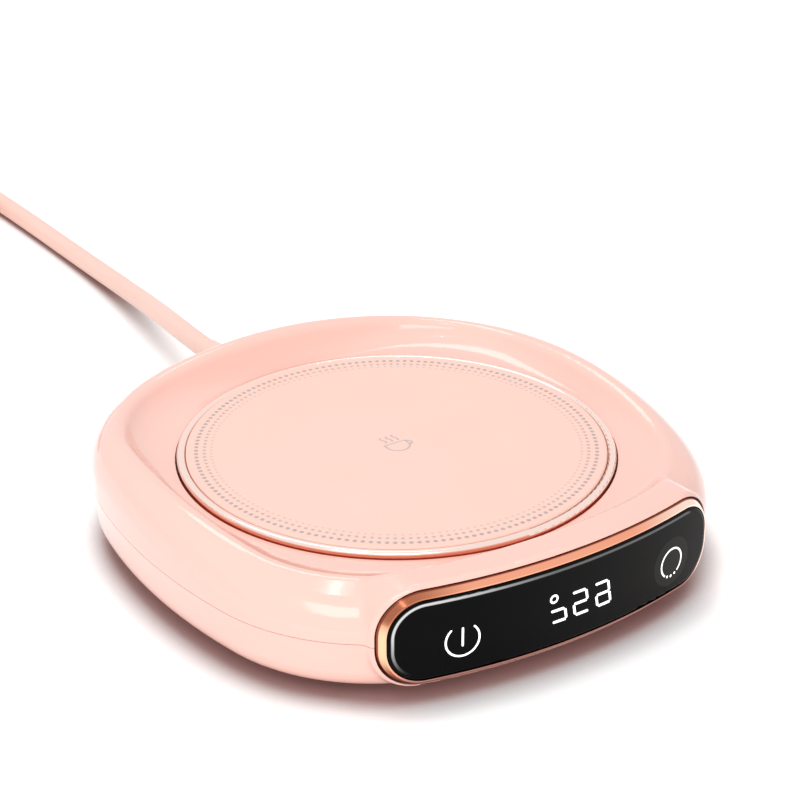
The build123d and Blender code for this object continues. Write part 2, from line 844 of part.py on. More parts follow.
with BuildPart() as ribbon_cable:
    with BuildSketch(Plane.YZ.offset(ribbon_x - ribbon_width / 2)):
        with BuildLine():
            Polyline(
                (-control_board_back, inner_floor + ribbon_end_height),
                (-control_board_back, inner_floor),
                (ribbon_back, inner_floor),
                (ribbon_back, power_board_top),
                (ribbon_back - ribbon_thickness, power_board_top),
                (ribbon_back - ribbon_thickness, inner_floor + ribbon_thickness),
                (-control_board_back + ribbon_thickness, inner_floor + ribbon_thickness),
                (-control_board_back + ribbon_thickness, inner_floor + ribbon_end_height),
                close=True,
            )
        make_face()
    extrude(amount=ribbon_width)

save(ribbon_cable, "ribbon_cable")


def bend_radii(points):
    """Radius for the bend at each inner point, as large as the two runs beside it allow."""
    radii = []
    for before, corner, after in zip(points, points[1:], points[2:]):
        run_in = Vector(corner) - Vector(before)
        run_out = Vector(after) - Vector(corner)
        half_turn = radians(run_in.get_angle(run_out) / 2)
        shorter = min(run_in.length, run_out.length)
        radii.append(bend_share * shorter / tan(half_turn))
    return radii


def wire(points, radius):
    """Round wire or cord along straight runs joined by tangent bends."""
    with BuildPart() as strand:
        with BuildLine() as route:
            FilletPolyline(*points, radius=bend_radii(points))
        with BuildSketch(Plane(route.line @ 0, z_dir=route.line % 0)):
            Circle(radius)
        sweep()
    return strand.part


with BuildPart() as heater_leads:
    for side in (-1, 1):
        x = side * heater_lead_x
        add(wire([(x, *place) for place in heater_lead_route], lead_radius))

save(heater_leads, "heater_leads")

with BuildPart() as mains_leads:
    for side in (-1, 1):
        add(wire([(side * place[0], *place[1:]) for place in mains_lead_route], lead_radius))

save(mains_leads, "mains_leads")


# ---------------------------------------------------------------- fasteners and feet


def screw_group(places, seat, head_radius, head_height, shank_radius, shank_length):
    """Equal screws whose heads lie on the seat plane and whose shanks run down its normal."""
    top = seat.offset(head_height)
    with BuildPart() as screws:
        with BuildSketch(seat):
            with Locations(*places):
                Circle(head_radius)
        extrude(amount=head_height)
        with BuildSketch(seat):
            with Locations(*places):
                Circle(shank_radius)
        extrude(amount=-shank_length)
        with BuildSketch(top):
            with Locations(*places):
                Rectangle(drive_length * head_radius, drive_width)
                Rectangle(drive_width, drive_length * head_radius)
        extrude(amount=-drive_depth * head_height, mode=Mode.SUBTRACT)
    return screws.part


def square_places(half_x, half_y, middle_y=0.0):
    """The four corners of a rectangle centred on x = 0."""
    return [(x, middle_y + y) for x in (-half_x, half_x) for y in (-half_y, half_y)]


with BuildPart() as housing_screws:
    add(
        screw_group(
            square_places(screw_reach, screw_reach),
            Plane((0, 0, screw_head_seat), x_dir=(1, 0, 0), z_dir=(0, 0, -1)),
            housing_screw_head,
            housing_screw_head_height,
            housing_screw_radius,
            housing_screw_length,
        )
    )

save(housing_screws, "housing_screws")

with BuildPart() as board_screws:
    add(
        screw_group(
            square_places(board_screw_x, board_screw_spread / 2, power_board_middle),
            Plane.XY.offset(power_board_top),
            small_screw_head,
            small_screw_head_height,
            small_screw_radius,
            board_screw_length,
        )
    )

save(board_screws, "board_screws")

with BuildPart() as clamp_screws:
    add(
        screw_group(
            [(-clamp_screw_x, clamp_middle), (clamp_screw_x, clamp_middle)],
            Plane.XY.offset(clamp_bottom + clamp_thickness),
            small_screw_head,
            small_screw_head_height,
            small_screw_radius,
            clamp_screw_length,
        )
    )

save(clamp_screws, "clamp_screws")

with BuildPart() as rubber_feet:
    with BuildSketch(Plane.XY):
        with GridLocations(2 * foot_reach, 2 * foot_reach, 2, 2):
            Circle(foot_radius)
    extrude(amount=foot_height + foot_recess)
    chamfer(rubber_feet.faces().group_by(Axis.Z)[0].edges(), foot_bevel)

save(rubber_feet, "rubber_feet")


# ---------------------------------------------------------------- mains cord and plug

with BuildPart() as cord_clamp:
    with BuildSketch(Plane.XY.offset(clamp_bottom)):
        with Locations((0, clamp_middle)):
            SlotOverall(clamp_length, clamp_width)
            with GridLocations(2 * clamp_screw_x, 0, 2, 1):
                Circle(small_hole_radius, mode=Mode.SUBTRACT)
    extrude(amount=clamp_thickness)

save(cord_clamp, "cord_clamp")

with BuildPart() as strain_relief:
    with BuildSketch(Plane.XY.offset(cord_exit_height)):
        with BuildLine():
            Polyline(
                (cord_radius, relief_flange_front),
                (relief_flange_radius, relief_flange_front),
                (relief_flange_radius, relief_flange_back),
                (cord_hole_radius - seat_gap, relief_flange_back),
                (cord_hole_radius - seat_gap, cord_collar_back + seat_gap),
                (relief_root_radius, cord_collar_back + seat_gap),
                (relief_tip_radius, cord_collar_back + relief_length),
                (cord_radius, cord_collar_back + relief_length),
                close=True,
            )
        make_face()
    revolve(axis=Axis((0, 0, cord_exit_height), (0, 1, 0)))

save(strain_relief, "strain_relief")

with BuildPart() as power_cord:
    add(wire(cord_points, cord_radius))

save(power_cord, "power_cord")

with BuildPart() as cord_coil:
    with BuildSketch(Plane.XZ.offset(-coil_y)) as coil_section:
        with Locations((coil_x + coil_middle_radius, 0)):
            Rectangle(coil_width, coil_height, align=(Align.CENTER, Align.MIN))
        fillet(coil_section.vertices(), cord_radius)
    revolve(axis=Axis((coil_x, coil_y, 0), (0, 0, 1)))

save(cord_coil, "cord_coil")

with BuildPart() as cord_tie:
    with BuildSketch(Plane.YZ.offset(coil_x - tie_width / 2)):
        with Locations((coil_y + coil_middle_radius, 0)):
            Rectangle(
                coil_width + 2 * tie_thickness,
                coil_height + tie_thickness,
                align=(Align.CENTER, Align.MIN),
            )
        with Locations((coil_y + coil_middle_radius, tie_thickness)):
            Rectangle(
                coil_width,
                coil_height - tie_thickness,
                align=(Align.CENTER, Align.MIN),
                mode=Mode.SUBTRACT,
            )
    extrude(amount=tie_width)

save(cord_tie, "cord_tie")

with BuildPart() as plug_lead:
    with BuildSketch(Plane.XZ.offset(-plug_tail_end)):
        with Locations((plug_x, coil_layer_height)):
            Circle(cord_radius)
    extrude(amount=-plug_lead_length)

save(plug_lead, "plug_lead")

with BuildPart() as plug_body:
    with BuildSketch(Plane.XZ.offset(-plug_back)):
        with Locations((plug_x, coil_layer_height)):
            RectangleRounded(plug_width, 2 * coil_layer_height, plug_corner)
    extrude(amount=plug_length)
    with BuildSketch(Plane.XZ.offset(-plug_back)):
        with Locations((plug_x, coil_layer_height)):
            Circle(plug_tail_root)
    with BuildSketch(Plane.XZ.offset(-plug_tail_end)):
        with Locations((plug_x, coil_layer_height)):
            Circle(relief_tip_radius)
    loft()
    fillet(plug_body.faces().sort_by(Axis.Y)[0].edges(), plug_edge_round)

save(plug_body, "plug_body")

with BuildPart() as plug_pins:
    with BuildSketch(Plane.XZ.offset(-plug_front)):
        with Locations((plug_x, coil_layer_height)):
            with GridLocations(pin_spacing, 0, 2, 1):
                Rectangle(pin_thickness, pin_width)
    extrude(amount=pin_length)

save(plug_pins, "plug_pins")

# ---------------------------------------------------------------- checks on the cord

cord_bends = bend_radii(cord_points)
print("cord bend radii, mm:", [round(radius) for radius in cord_bends])
coil_length = coil_turns * 2 * pi * coil_middle_radius
free_length = power_cord.part.volume / (pi * cord_radius**2)
print("cord length, mm:", round(free_length + coil_length + plug_lead_length))
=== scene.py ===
"""Looks of an electric mug warmer, built in metres round its packed construction model.

The heated plate faces +Z and the touch panel faces -Y. The shells, the trim and the inner
pieces are the construction model's own; this file dresses them, winds the springs, lays the
mains cord, prints the plate, lights the panel's signs and sets up the studio.
"""

import json
import logging
import math
from collections.abc import Callable, Iterable, Sequence
from dataclasses import dataclass
from enum import Enum
from functools import partial

import bpy
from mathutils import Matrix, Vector

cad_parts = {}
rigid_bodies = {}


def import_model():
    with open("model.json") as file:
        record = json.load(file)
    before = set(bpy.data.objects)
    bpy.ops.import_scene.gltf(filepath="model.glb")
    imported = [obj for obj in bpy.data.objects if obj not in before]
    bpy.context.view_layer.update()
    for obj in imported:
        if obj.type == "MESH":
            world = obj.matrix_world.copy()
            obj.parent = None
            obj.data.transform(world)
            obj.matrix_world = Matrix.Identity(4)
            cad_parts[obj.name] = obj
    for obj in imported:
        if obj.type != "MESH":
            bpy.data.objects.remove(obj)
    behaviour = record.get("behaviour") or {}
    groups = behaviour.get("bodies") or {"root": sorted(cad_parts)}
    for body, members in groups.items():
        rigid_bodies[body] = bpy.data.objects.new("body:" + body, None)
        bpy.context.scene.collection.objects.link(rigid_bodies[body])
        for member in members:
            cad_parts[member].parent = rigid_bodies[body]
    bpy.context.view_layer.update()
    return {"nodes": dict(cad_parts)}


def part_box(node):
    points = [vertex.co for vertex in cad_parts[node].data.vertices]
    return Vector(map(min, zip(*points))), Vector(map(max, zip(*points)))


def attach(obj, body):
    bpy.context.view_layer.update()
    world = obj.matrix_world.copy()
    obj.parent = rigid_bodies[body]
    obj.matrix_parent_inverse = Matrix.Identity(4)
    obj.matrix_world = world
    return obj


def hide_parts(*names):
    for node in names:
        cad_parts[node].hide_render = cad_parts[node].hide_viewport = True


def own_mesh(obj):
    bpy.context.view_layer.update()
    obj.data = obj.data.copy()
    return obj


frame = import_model()

MM = 0.001
SHARP_EDGE = math.radians(40.0)
Place = tuple[float, float, float]
Flat = tuple[float, float]
Colour = tuple[float, float, float, float]
Piece = bpy.types.Object
Socket = bpy.types.NodeSocket

log = logging.getLogger("mug_warmer")


class Body(Enum):
    """The moving bodies that a piece can ride on."""

    BASE = "base"
    PLATE = "plate"


class Facing(Enum):
    """The plane in which a flat sign is drawn."""

    UP = "up"
    FRONT = "front"


# ------------ working with Blender


def pick(*pieces: Piece) -> None:
    """Select only these pieces and make the last one active.

    Args:
        *pieces: The pieces that the next operator works on.
    """
    bpy.ops.object.select_all(action="DESELECT")
    for piece in pieces:
        piece.select_set(True)
    bpy.context.view_layer.objects.active = pieces[-1]


def put(name: str, data: bpy.types.ID) -> Piece:
    """Put new data into the scene.

    Args:
        name: The name of its object.
        data: The curve, lamp or camera.

    Returns:
        The object that holds it.
    """
    made = bpy.data.objects.new(name, data)
    bpy.context.scene.collection.objects.link(made)
    return made


def settle(piece: Piece) -> Piece:
    """Put a piece's place, turn and size into its mesh.

    Args:
        piece: The piece, which is changed.

    Returns:
        The same piece, with its object at the origin.
    """
    pick(piece)
    bpy.ops.object.transform_apply(location=True, rotation=True, scale=True)
    return piece


def join(pieces: Sequence[Piece], name: str) -> Piece:
    """Join pieces into one.

    Args:
        pieces: The pieces to join.
        name: The name of the joined piece.

    Returns:
        The joined piece.
    """
    pick(*pieces)
    bpy.ops.object.join()
    joined = bpy.context.object
    joined.name = joined.data.name = name
    return joined


def shape(piece: Piece, *steps: Callable[[], object]) -> None:
    """Shape a piece in edit mode and turn its faces outwards.

    Args:
        piece: The piece, which is changed.
        *steps: The operators in order, each of which acts on the whole piece.
    """
    pick(piece)
    bpy.ops.object.mode_set(mode="EDIT")
    for step in (*steps, bpy.ops.mesh.normals_make_consistent):
        bpy.ops.mesh.select_all(action="SELECT")
        step()
    bpy.ops.object.mode_set(mode="OBJECT")


def extrusion(*shift: float) -> Callable[[], object]:
    """Return the operator that draws faces out by a shift along X, Y and Z."""
    return partial(bpy.ops.mesh.extrude_region_move, TRANSFORM_OT_translate={"value": shift})


def apply_modifiers(piece: Piece) -> None:
    """Apply every modifier of a piece, in order.

    Args:
        piece: The piece, which is changed.
    """
    pick(piece)
    for modifier in list(piece.modifiers):
        bpy.ops.object.modifier_apply(modifier=modifier.name)


def smooth(piece: Piece) -> None:
    """Shade a piece smooth, with its sharp edges kept."""
    pick(piece)
    bpy.ops.object.shade_smooth_by_angle(angle=SHARP_EDGE)


STRAIGHT_UP_TO, STRAIGHT_SLOPE = 0.04045, 12.92
CURVE_OFFSET, CURVE_POWER = 0.055, 2.4


def linear(code: str) -> Colour:
    """Turn a colour as a paint chart gives it into what a shader takes.

    Args:
        code: The colour as six hexadecimal digits after a number sign.

    Returns:
        Its linear red, green and blue, and full cover.
    """
    parts = []
    for start in (1, 3, 5):
        share = int(code[start : start + 2], 16) / 255
        curved = ((share + CURVE_OFFSET) / (1 + CURVE_OFFSET)) ** CURVE_POWER
        parts.append(share / STRAIGHT_SLOPE if share <= STRAIGHT_UP_TO else curved)
    return (*parts, 1.0)


# ------------ shader building


class NodeGraph:
    """A short way to add and link the nodes of a material, a world or a group."""

    MIX_SHARE, MIX_FIRST, MIX_SECOND, MIX_RESULT = 0, 6, 7, 2

    def __init__(self, tree: bpy.types.NodeTree) -> None:
        """Work on one tree."""
        self.tree = tree

    def feed(self, node: bpy.types.Node, inputs: dict) -> None:
        """Give a node what its inputs take.

        Args:
            node: The node.
            inputs: Values or other nodes' outputs, by the input's name or number.
        """
        for key, value in inputs.items():
            if isinstance(value, Socket):
                self.tree.links.new(value, node.inputs[key])
            else:
                node.inputs[key].default_value = value

    def add(self, kind: str, inputs: dict | None = None, **settings: object) -> bpy.types.Node:
        """Add a node.

        Args:
            kind: The node's type.
            inputs: Values or outputs to give to its inputs, by name or number.
            **settings: Properties of the node itself.

        Returns:
            The new node.
        """
        node = self.tree.nodes.new(kind)
        for key, value in settings.items():
            setattr(node, key, value)
        self.feed(node, inputs or {})
        return node

    def maths(self, operation: str, *values: object) -> Socket:
        """Add a Math node and return its result."""
        node = self.add("ShaderNodeMath", dict(enumerate(values)), operation=operation)
        return node.outputs[0]

    def times(self, first: object, second: object) -> Socket:
        """Return a product."""
        return self.maths("MULTIPLY", first, second)

    def vector_maths(self, operation: str, *values: object) -> bpy.types.Node:
        """Add a Vector Math node and return it."""
        return self.add("ShaderNodeVectorMath", dict(enumerate(values)), operation=operation)

    def length(self, vector: object, axes: Place = (1.0, 1.0, 1.0)) -> Socket:
        """Return a vector's length over the axes that have a 1."""
        flat = self.vector_maths("MULTIPLY", vector, axes).outputs["Vector"]
        return self.vector_maths("LENGTH", flat).outputs["Value"]

    def effect(self, effect: "SharedEffect", *values: object) -> Sequence[Socket]:
        """Place a shared effect with values for its inputs, in order, and return its outputs."""
        group = bpy.data.node_groups[effect.value]
        return self.add("ShaderNodeGroup", dict(enumerate(values)), node_tree=group).outputs

    def remainder(self, share: object) -> Socket:
        """Return 1 less a share."""
        return self.maths("SUBTRACT", 1.0, share)

    def mix(self, share: object, first: object, second: object) -> Socket:
        """Mix two colours.

        Args:
            share: How much of the second colour there is.
            first: The first colour, or the output that gives it.
            second: The second colour, or the output that gives it.

        Returns:
            The mixed colour.
        """
        inputs = {self.MIX_SHARE: share, self.MIX_FIRST: first, self.MIX_SECOND: second}
        node = self.add("ShaderNodeMix", inputs, data_type="RGBA", clamp_factor=True)
        return node.outputs[self.MIX_RESULT]

    def band(self, value: object, low: float, high: float) -> Socket:
        """Make a smooth step.

        Args:
            value: The value that is read.
            low: Where the step starts.
            high: Where it ends, which may also lie below its start.

        Returns:
            0 before the start, 1 past the end and a smooth rise between.
        """
        inputs = {"Value": value, "From Min": low, "From Max": high}
        return self.add("ShaderNodeMapRange", inputs, interpolation_type="SMOOTHSTEP").outputs[0]

    def noise(self, place: object, scale: object, detail: float) -> Socket:
        """Add a Noise Texture and return its value."""
        inputs = {"Vector": place, "Scale": scale, "Detail": detail}
        return self.add("ShaderNodeTexNoise", inputs).outputs[0]

    def place(self) -> Socket:
        """Return where on the piece a point is."""
        return self.add("ShaderNodeTexCoord").outputs["Object"]

    def axes(self, vector: object) -> Sequence[Socket]:
        """Return the X, Y and Z of a vector."""
        return self.add("ShaderNodeSeparateXYZ", {0: vector}).outputs

    def upward(self, low: float, high: float) -> Socket:
        """Return how far the surface looks up, as a smooth step of its normal's Z."""
        normal = self.add("ShaderNodeNewGeometry").outputs["Normal"]
        return self.band(self.axes(normal)[2], low, high)


class SharedEffect(Enum):
    """Effects that several finishes use, each one node group."""

    MOULDED = "moulded_grain"
    TURNED = "turned_grain"
    DUSTED = "settled_dust"


COLOUR_SOCKETS = ("Colour", "Shade", "Dust")
GRAIN_INPUTS = "Colour Shade Mottle Grain Roughness Spread"
GRAIN_OUTPUTS = "Colour Roughness Height"
PATCHES_PER_GRAIN = 0.04
PATCH_BAND = (0.3, 0.7)
PATCH_DETAIL = 2.0
GRAIN_DETAIL = 3.0
NOISE_MIDDLE = 0.5
TURNED_STRETCH = 2.0 * MM
DUST_TONE = (0.8, 0.78, 0.75, 1.0)
DUST_UPWARD = (0.2, 1.0)
DUST_SPECKS = 900.0
DUST_DETAIL = 4.0
DUST_BAND = (0.45, 0.65)


def new_group(
    effect: SharedEffect, inputs: str, outputs: str
) -> tuple[NodeGraph, Sequence[Socket], bpy.types.Node]:
    """Start a node group with its sockets, to which every material gives its own values.

    Args:
        effect: The effect, which gives the group its name.
        inputs: The names of its inputs.
        outputs: The names of its outputs.

    Returns:
        The graph inside, the values given to it and its output node.
    """
    tree = bpy.data.node_groups.new(effect.value, "ShaderNodeTree")
    for side, names in (("INPUT", inputs), ("OUTPUT", outputs)):
        for name in names.split():
            kind = "NodeSocketColor" if name in COLOUR_SOCKETS else "NodeSocketFloat"
            tree.interface.new_socket(name, in_out=side, socket_type=kind)
    graph = NodeGraph(tree)
    return graph, graph.add("NodeGroupInput").outputs, graph.add("NodeGroupOutput")


def build_grain(effect: SharedEffect, place_in: Callable[[NodeGraph], Socket]) -> None:
    """Build a grain: patches of shade, uneven gloss and a fine relief.

    Args:
        effect: Which of the grains it is.
        place_in: What gives the place at which the pattern is read, in the group's graph.
    """
    graph, values, result = new_group(effect, GRAIN_INPUTS, GRAIN_OUTPUTS)
    place = place_in(graph)
    wide = graph.times(values["Grain"], PATCHES_PER_GRAIN)
    patches = graph.noise(place, wide, PATCH_DETAIL)
    grains = graph.noise(place, values["Grain"], GRAIN_DETAIL)
    share = graph.times(graph.band(patches, *PATCH_BAND), values["Mottle"])
    uneven = graph.maths("SUBTRACT", grains, NOISE_MIDDLE)
    uneven = graph.maths("ADD", uneven, graph.maths("SUBTRACT", patches, NOISE_MIDDLE))
    rough = graph.maths("MULTIPLY_ADD", uneven, values["Spread"], values["Roughness"])
    colour = graph.mix(share, values["Colour"], values["Shade"])
    graph.feed(result, {"Colour": colour, "Roughness": rough, "Height": grains})


def turned_place(graph: NodeGraph) -> Socket:
    """Draw the place on a piece out round the Z axis, as on turned or brushed metal.

    Args:
        graph: The graph in which it is read.

    Returns:
        The distance from the axis, the place round it and the height.
    """
    x, y, z = graph.axes(graph.place())
    radius = graph.length(graph.place(), (1.0, 1.0, 0.0))
    drawn_out = graph.times(graph.maths("ARCTAN2", y, x), TURNED_STRETCH)
    return graph.add("ShaderNodeCombineXYZ", {0: radius, 1: drawn_out, 2: z}).outputs[0]


def build_dust() -> None:
    """Build the faint paler tone that settles on faces that look up."""
    graph, values, result = new_group(SharedEffect.DUSTED, "Colour Dust Amount", "Colour")
    specks = graph.band(graph.noise(graph.place(), DUST_SPECKS, DUST_DETAIL), *DUST_BAND)
    share = graph.times(graph.upward(*DUST_UPWARD), specks)
    share = graph.times(share, values["Amount"])
    graph.feed(result, {"Colour": graph.mix(share, values["Colour"], values["Dust"])})


# ------------ finishes


@dataclass(frozen=True)
class Finish:
    """The colour, gloss and grain of one material."""

    name: str
    colour: str
    shade: str
    mottle: float = 0.5
    grain: float = 1300.0
    relief: float = 0.02 * MM
    roughness: float = 0.35
    spread: float = 0.08
    metallic: float = 0.0
    specular: float = 0.5
    coat: float = 0.0
    coat_roughness: float = 0.05
    dust: float = 0.0
    glow: float = 0.0
    effect: SharedEffect = SharedEffect.MOULDED

    def tone(self, graph: NodeGraph, colour: Socket) -> Socket:
        """Return the colour as it is; finishes with more than one tone add the others here."""
        return colour

    def material(self) -> bpy.types.Material:
        """Build the material, unless it is there already.

        Returns:
            The material.
        """
        made = bpy.data.materials.get(self.name)
        if made:
            return made
        made = bpy.data.materials.new(self.name)
        made.use_nodes = True
        graph = NodeGraph(made.node_tree)
        tones = (linear(self.colour), linear(self.shade))
        grain = (self.mottle, self.grain, self.roughness, self.spread)
        colour, rough, height = graph.effect(self.effect, *tones, *grain)
        colour = self.tone(graph, colour)
        if self.dust:
            colour = graph.effect(SharedEffect.DUSTED, colour, DUST_TONE, self.dust)[0]
        surface = {
            "Base Color": colour,
            "Roughness": rough,
            "Metallic": self.metallic,
            "Specular IOR Level": self.specular,
            "Coat Weight": self.coat,
            "Coat Roughness": self.coat_roughness,
        }
        if self.relief:
            bump = graph.add("ShaderNodeBump", {"Height": height, "Distance": self.relief})
            surface["Normal"] = bump.outputs[0]
        if self.glow:
            surface |= {"Emission Color": colour, "Emission Strength": self.glow}
        graph.feed(made.node_tree.nodes["Principled BSDF"], surface)
        return made


@dataclass(frozen=True)
class FadingInk(Finish):
    """The plate's grey print, which fades into the plate's own colour towards the middle."""

    faded: str = "#F3CFC4"
    fade: Flat = (35.8 * MM, 41.2 * MM)

    def tone(self, graph: NodeGraph, colour: Socket) -> Socket:
        """Fade the colour by its distance from the plate's axis."""
        share = graph.band(graph.length(graph.place(), (1.0, 1.0, 0.0)), *self.fade)
        return graph.mix(share, linear(self.faded), colour)


@dataclass(frozen=True)
class GlassWithPaintedHighlight(Finish):
    """A dark cover glass with a painted highlight line inside its edge and a round field of
    painted reflection at the timer key.

    Heights are over the glass's middle, apart from that middle's own and the reflection field's.
    """

    # the round field's tone is a painted reflection and the line's two tones are a painted
    # highlight
    reflection_field_tone: str = "#2B2A29"
    end_tone: str = "#1B1918"
    highlight_tone: str = "#6E6E6E"
    highlight_end_tone: str = "#D8D8D8"
    half_length: float = 37.65 * MM
    half_height: float = 8.5 * MM
    middle_height: float = 13.85 * MM
    corner: float = 7.25 * MM
    end_from: float = -25.0 * MM
    highlight_inside: float = 0.95 * MM
    highlight_edge: Flat = (0.132 * MM, 0.374 * MM)
    highlight_paling: Flat = (-2.0 * MM, -33.0 * MM)
    highlight_rising: Flat = (-7.0 * MM, 3.0 * MM)
    highlight_ending: Flat = (31.0 * MM, 32.5 * MM)
    reflection_field: Place = (26.75 * MM, 12.4 * MM, 5.0 * MM)
    reflection_field_edge: float = 0.25 * MM

    def distance(self, graph: NodeGraph, across: object, up: object) -> Socket:
        """Give how far a point lies outside the glass's outline, below zero inside it.

        Args:
            graph: The material's graph.
            across: The point's place across the panel.
            up: Its height over the glass's middle.

        Returns:
            The distance.
        """
        gaps = [
            graph.maths("SUBTRACT", graph.maths("ABSOLUTE", value), half - self.corner)
            for value, half in ((across, self.half_length), (up, self.half_height))
        ]
        outside = [graph.maths("MAXIMUM", gap, 0.0) for gap in gaps]
        squares = [graph.times(gap, gap) for gap in outside]
        round_part = graph.maths("SQRT", graph.maths("ADD", *squares))
        flat_part = graph.maths("MINIMUM", graph.maths("MAXIMUM", *gaps), 0.0)
        return graph.maths("SUBTRACT", graph.maths("ADD", round_part, flat_part), self.corner)

    def tone(self, graph: NodeGraph, colour: Socket) -> Socket:
        """Add the paler end, the painted reflection in the key's round field and the painted
        highlight line.

        Args:
            graph: The material's graph.
            colour: The glass's own colour.

        Returns:
            The colour with all of them.
        """
        place = graph.place()
        across, _, level = graph.axes(place)
        toward_end = graph.band(across, self.end_from, self.half_length)
        colour = graph.mix(toward_end, colour, linear(self.end_tone))
        # painted reflection: a paler round field at the timer key
        key_x, key_z, key_radius = self.reflection_field
        offset = graph.vector_maths("SUBTRACT", place, (key_x, 0.0, key_z)).outputs["Vector"]
        reach = graph.length(offset, (1.0, 0.0, 1.0))
        beyond = graph.band(reach, key_radius, key_radius + self.reflection_field_edge)
        colour = graph.mix(beyond, linear(self.reflection_field_tone), colour)
        # painted highlight: a pale line just inside the edge, along the top and round the left
        # end, whitest at that end
        up = graph.maths("SUBTRACT", level, self.middle_height)
        inside = graph.maths("ADD", self.distance(graph, across, up), self.highlight_inside)
        off_highlight = graph.band(graph.maths("ABSOLUTE", inside), *self.highlight_edge)
        short = graph.remainder(graph.band(across, *self.highlight_ending))
        share = graph.times(graph.band(up, *self.highlight_rising), short)
        share = graph.times(graph.remainder(off_highlight), share)
        paling = graph.band(across, *self.highlight_paling)
        tone = graph.mix(paling, linear(self.highlight_tone), linear(self.highlight_end_tone))
        return graph.mix(share, colour, tone)


@dataclass(frozen=True)
class TurnedRing(Finish):
    """Turned metal whose upright outer side carries painted shade and a painted reflection of the
    pink bowl, in a warmer red tone.
    """

    # painted shade and a painted pink reflection on the upright outer side
    painted_side_shade: str = "#E0967C"
    painted_side_shade_edge: Flat = (0.02, 0.4)

    def tone(self, graph: NodeGraph, colour: Socket) -> Socket:
        """Paint shade and the bowl's pink reflection on the upright side, making it redder."""
        return graph.mix(graph.upward(*self.painted_side_shade_edge), linear(self.painted_side_shade), colour)


@dataclass(frozen=True)
class PlatingWithPaintedLight(Finish):
    """Plating with painted light: a painted dark reflection and a painted highlight at one end of
    the frame, a painted paler reflection at the other, and painted shade along its bottom and in
    the gap beside the collar.

    Each tone has the two places between which it comes in: across the panel, in height for the
    painted shade underneath, or behind the curved front for the shade in the gap. The dark
    reflection is above high, the highlight below.
    """

    # painted light: a dark reflection, a paler reflection, a highlight, shade underneath and shade
    # in the gap beside the collar
    dark_reflection: str = "#B06A4E"
    pale_reflection: str = "#FBE0D0"
    gold_highlight: str = "#F3C6A0"
    under: str = "#B98378"
    groove_shade: str = "#8A4836"
    front: float = -58.7 * MM
    curve_radius: float = 127.0 * MM
    high: Flat = (15.5 * MM, 19.5 * MM)
    dark_reflection_across: Flat = (-20.0 * MM, -34.0 * MM)
    gold_highlight_across: Flat = (-36.3 * MM, -37.9 * MM)
    pale_reflection_across: Flat = (14.0 * MM, 33.0 * MM)
    under_shade_height: Flat = (8.0 * MM, 5.6 * MM)
    groove_shade_behind: Flat = (1.3 * MM, 1.5 * MM)

    def tone(self, graph: NodeGraph, colour: Socket) -> Socket:
        """Add the painted reflections, highlight and shade along the frame and in the gap beside
        it.

        Args:
            graph: The material's graph.
            colour: The plating's own colour.

        Returns:
            The colour with all of them.
        """
        across, depth, level = graph.axes(graph.place())
        high = graph.band(level, *self.high)
        dark_reflection = graph.times(graph.band(across, *self.dark_reflection_across), high)
        gold_highlight = graph.band(across, *self.gold_highlight_across)
        gold_highlight = graph.times(gold_highlight, graph.remainder(high))
        sag = graph.maths("DIVIDE", graph.times(across, across), 2 * self.curve_radius)
        behind = graph.maths("SUBTRACT", graph.maths("SUBTRACT", depth, self.front), sag)
        # painted reflections, a painted highlight and painted shade over the plating's own colour
        tones = (
            (dark_reflection, self.dark_reflection),
            (gold_highlight, self.gold_highlight),
            (graph.band(across, *self.pale_reflection_across), self.pale_reflection),
            (graph.band(level, *self.under_shade_height), self.under),
            (graph.band(behind, *self.groove_shade_behind), self.groove_shade),
        )
        for share, tone in tones:
            colour = graph.mix(share, colour, linear(tone))
        return colour


@dataclass(frozen=True)
class BoardFinish(Finish):
    """A green circuit board with pale copper tracks under its lacquer."""

    track: str = "#2E8A57"
    track_pitch: float = 330.0
    track_width: float = 0.08

    def tone(self, graph: NodeGraph, colour: Socket) -> Socket:
        """Let the tracks show through the lacquer.

        Args:
            graph: The material's graph.
            colour: The lacquer's own colour.

        Returns:
            The colour with the tracks.
        """
        tracks = {"Scale": self.track_pitch, "Mortar Size": self.track_width}
        cells = graph.add("ShaderNodeTexBrick", {"Vector": graph.place(), **tracks})
        return graph.mix(cells.outputs["Fac"], colour, linear(self.track))


CORD_JACKET = Finish(
    "pink_cord_jacket", "#FCD3C5", "#FACDBE", mottle=0.4, grain=900.0, relief=0.01 * MM,
    roughness=0.42,
)
LIT_WHITE = Finish(
    "lit_white_sign", "#FFFFFF", "#F4F8FF", mottle=0.3, grain=800.0, relief=0.0, roughness=0.4,
    spread=0.02, glow=0.9,
)
PLATE_INK = FadingInk(
    "plate_grey_ink", "#B8A5A2", "#C2B0AC", grain=2500.0, relief=0.0, roughness=0.45,
)
SIGN_INK = Finish(
    "sign_grey_ink", "#CDB9B7", "#D5C2BF", mottle=0.6, grain=2500.0, relief=0.0, roughness=0.45,
)
SPRING_STEEL = Finish(
    "spring_steel", "#A9ACB0", "#8E9195", mottle=0.6, grain=2600.0, relief=0.01 * MM,
    roughness=0.28, spread=0.12, metallic=1.0,
)

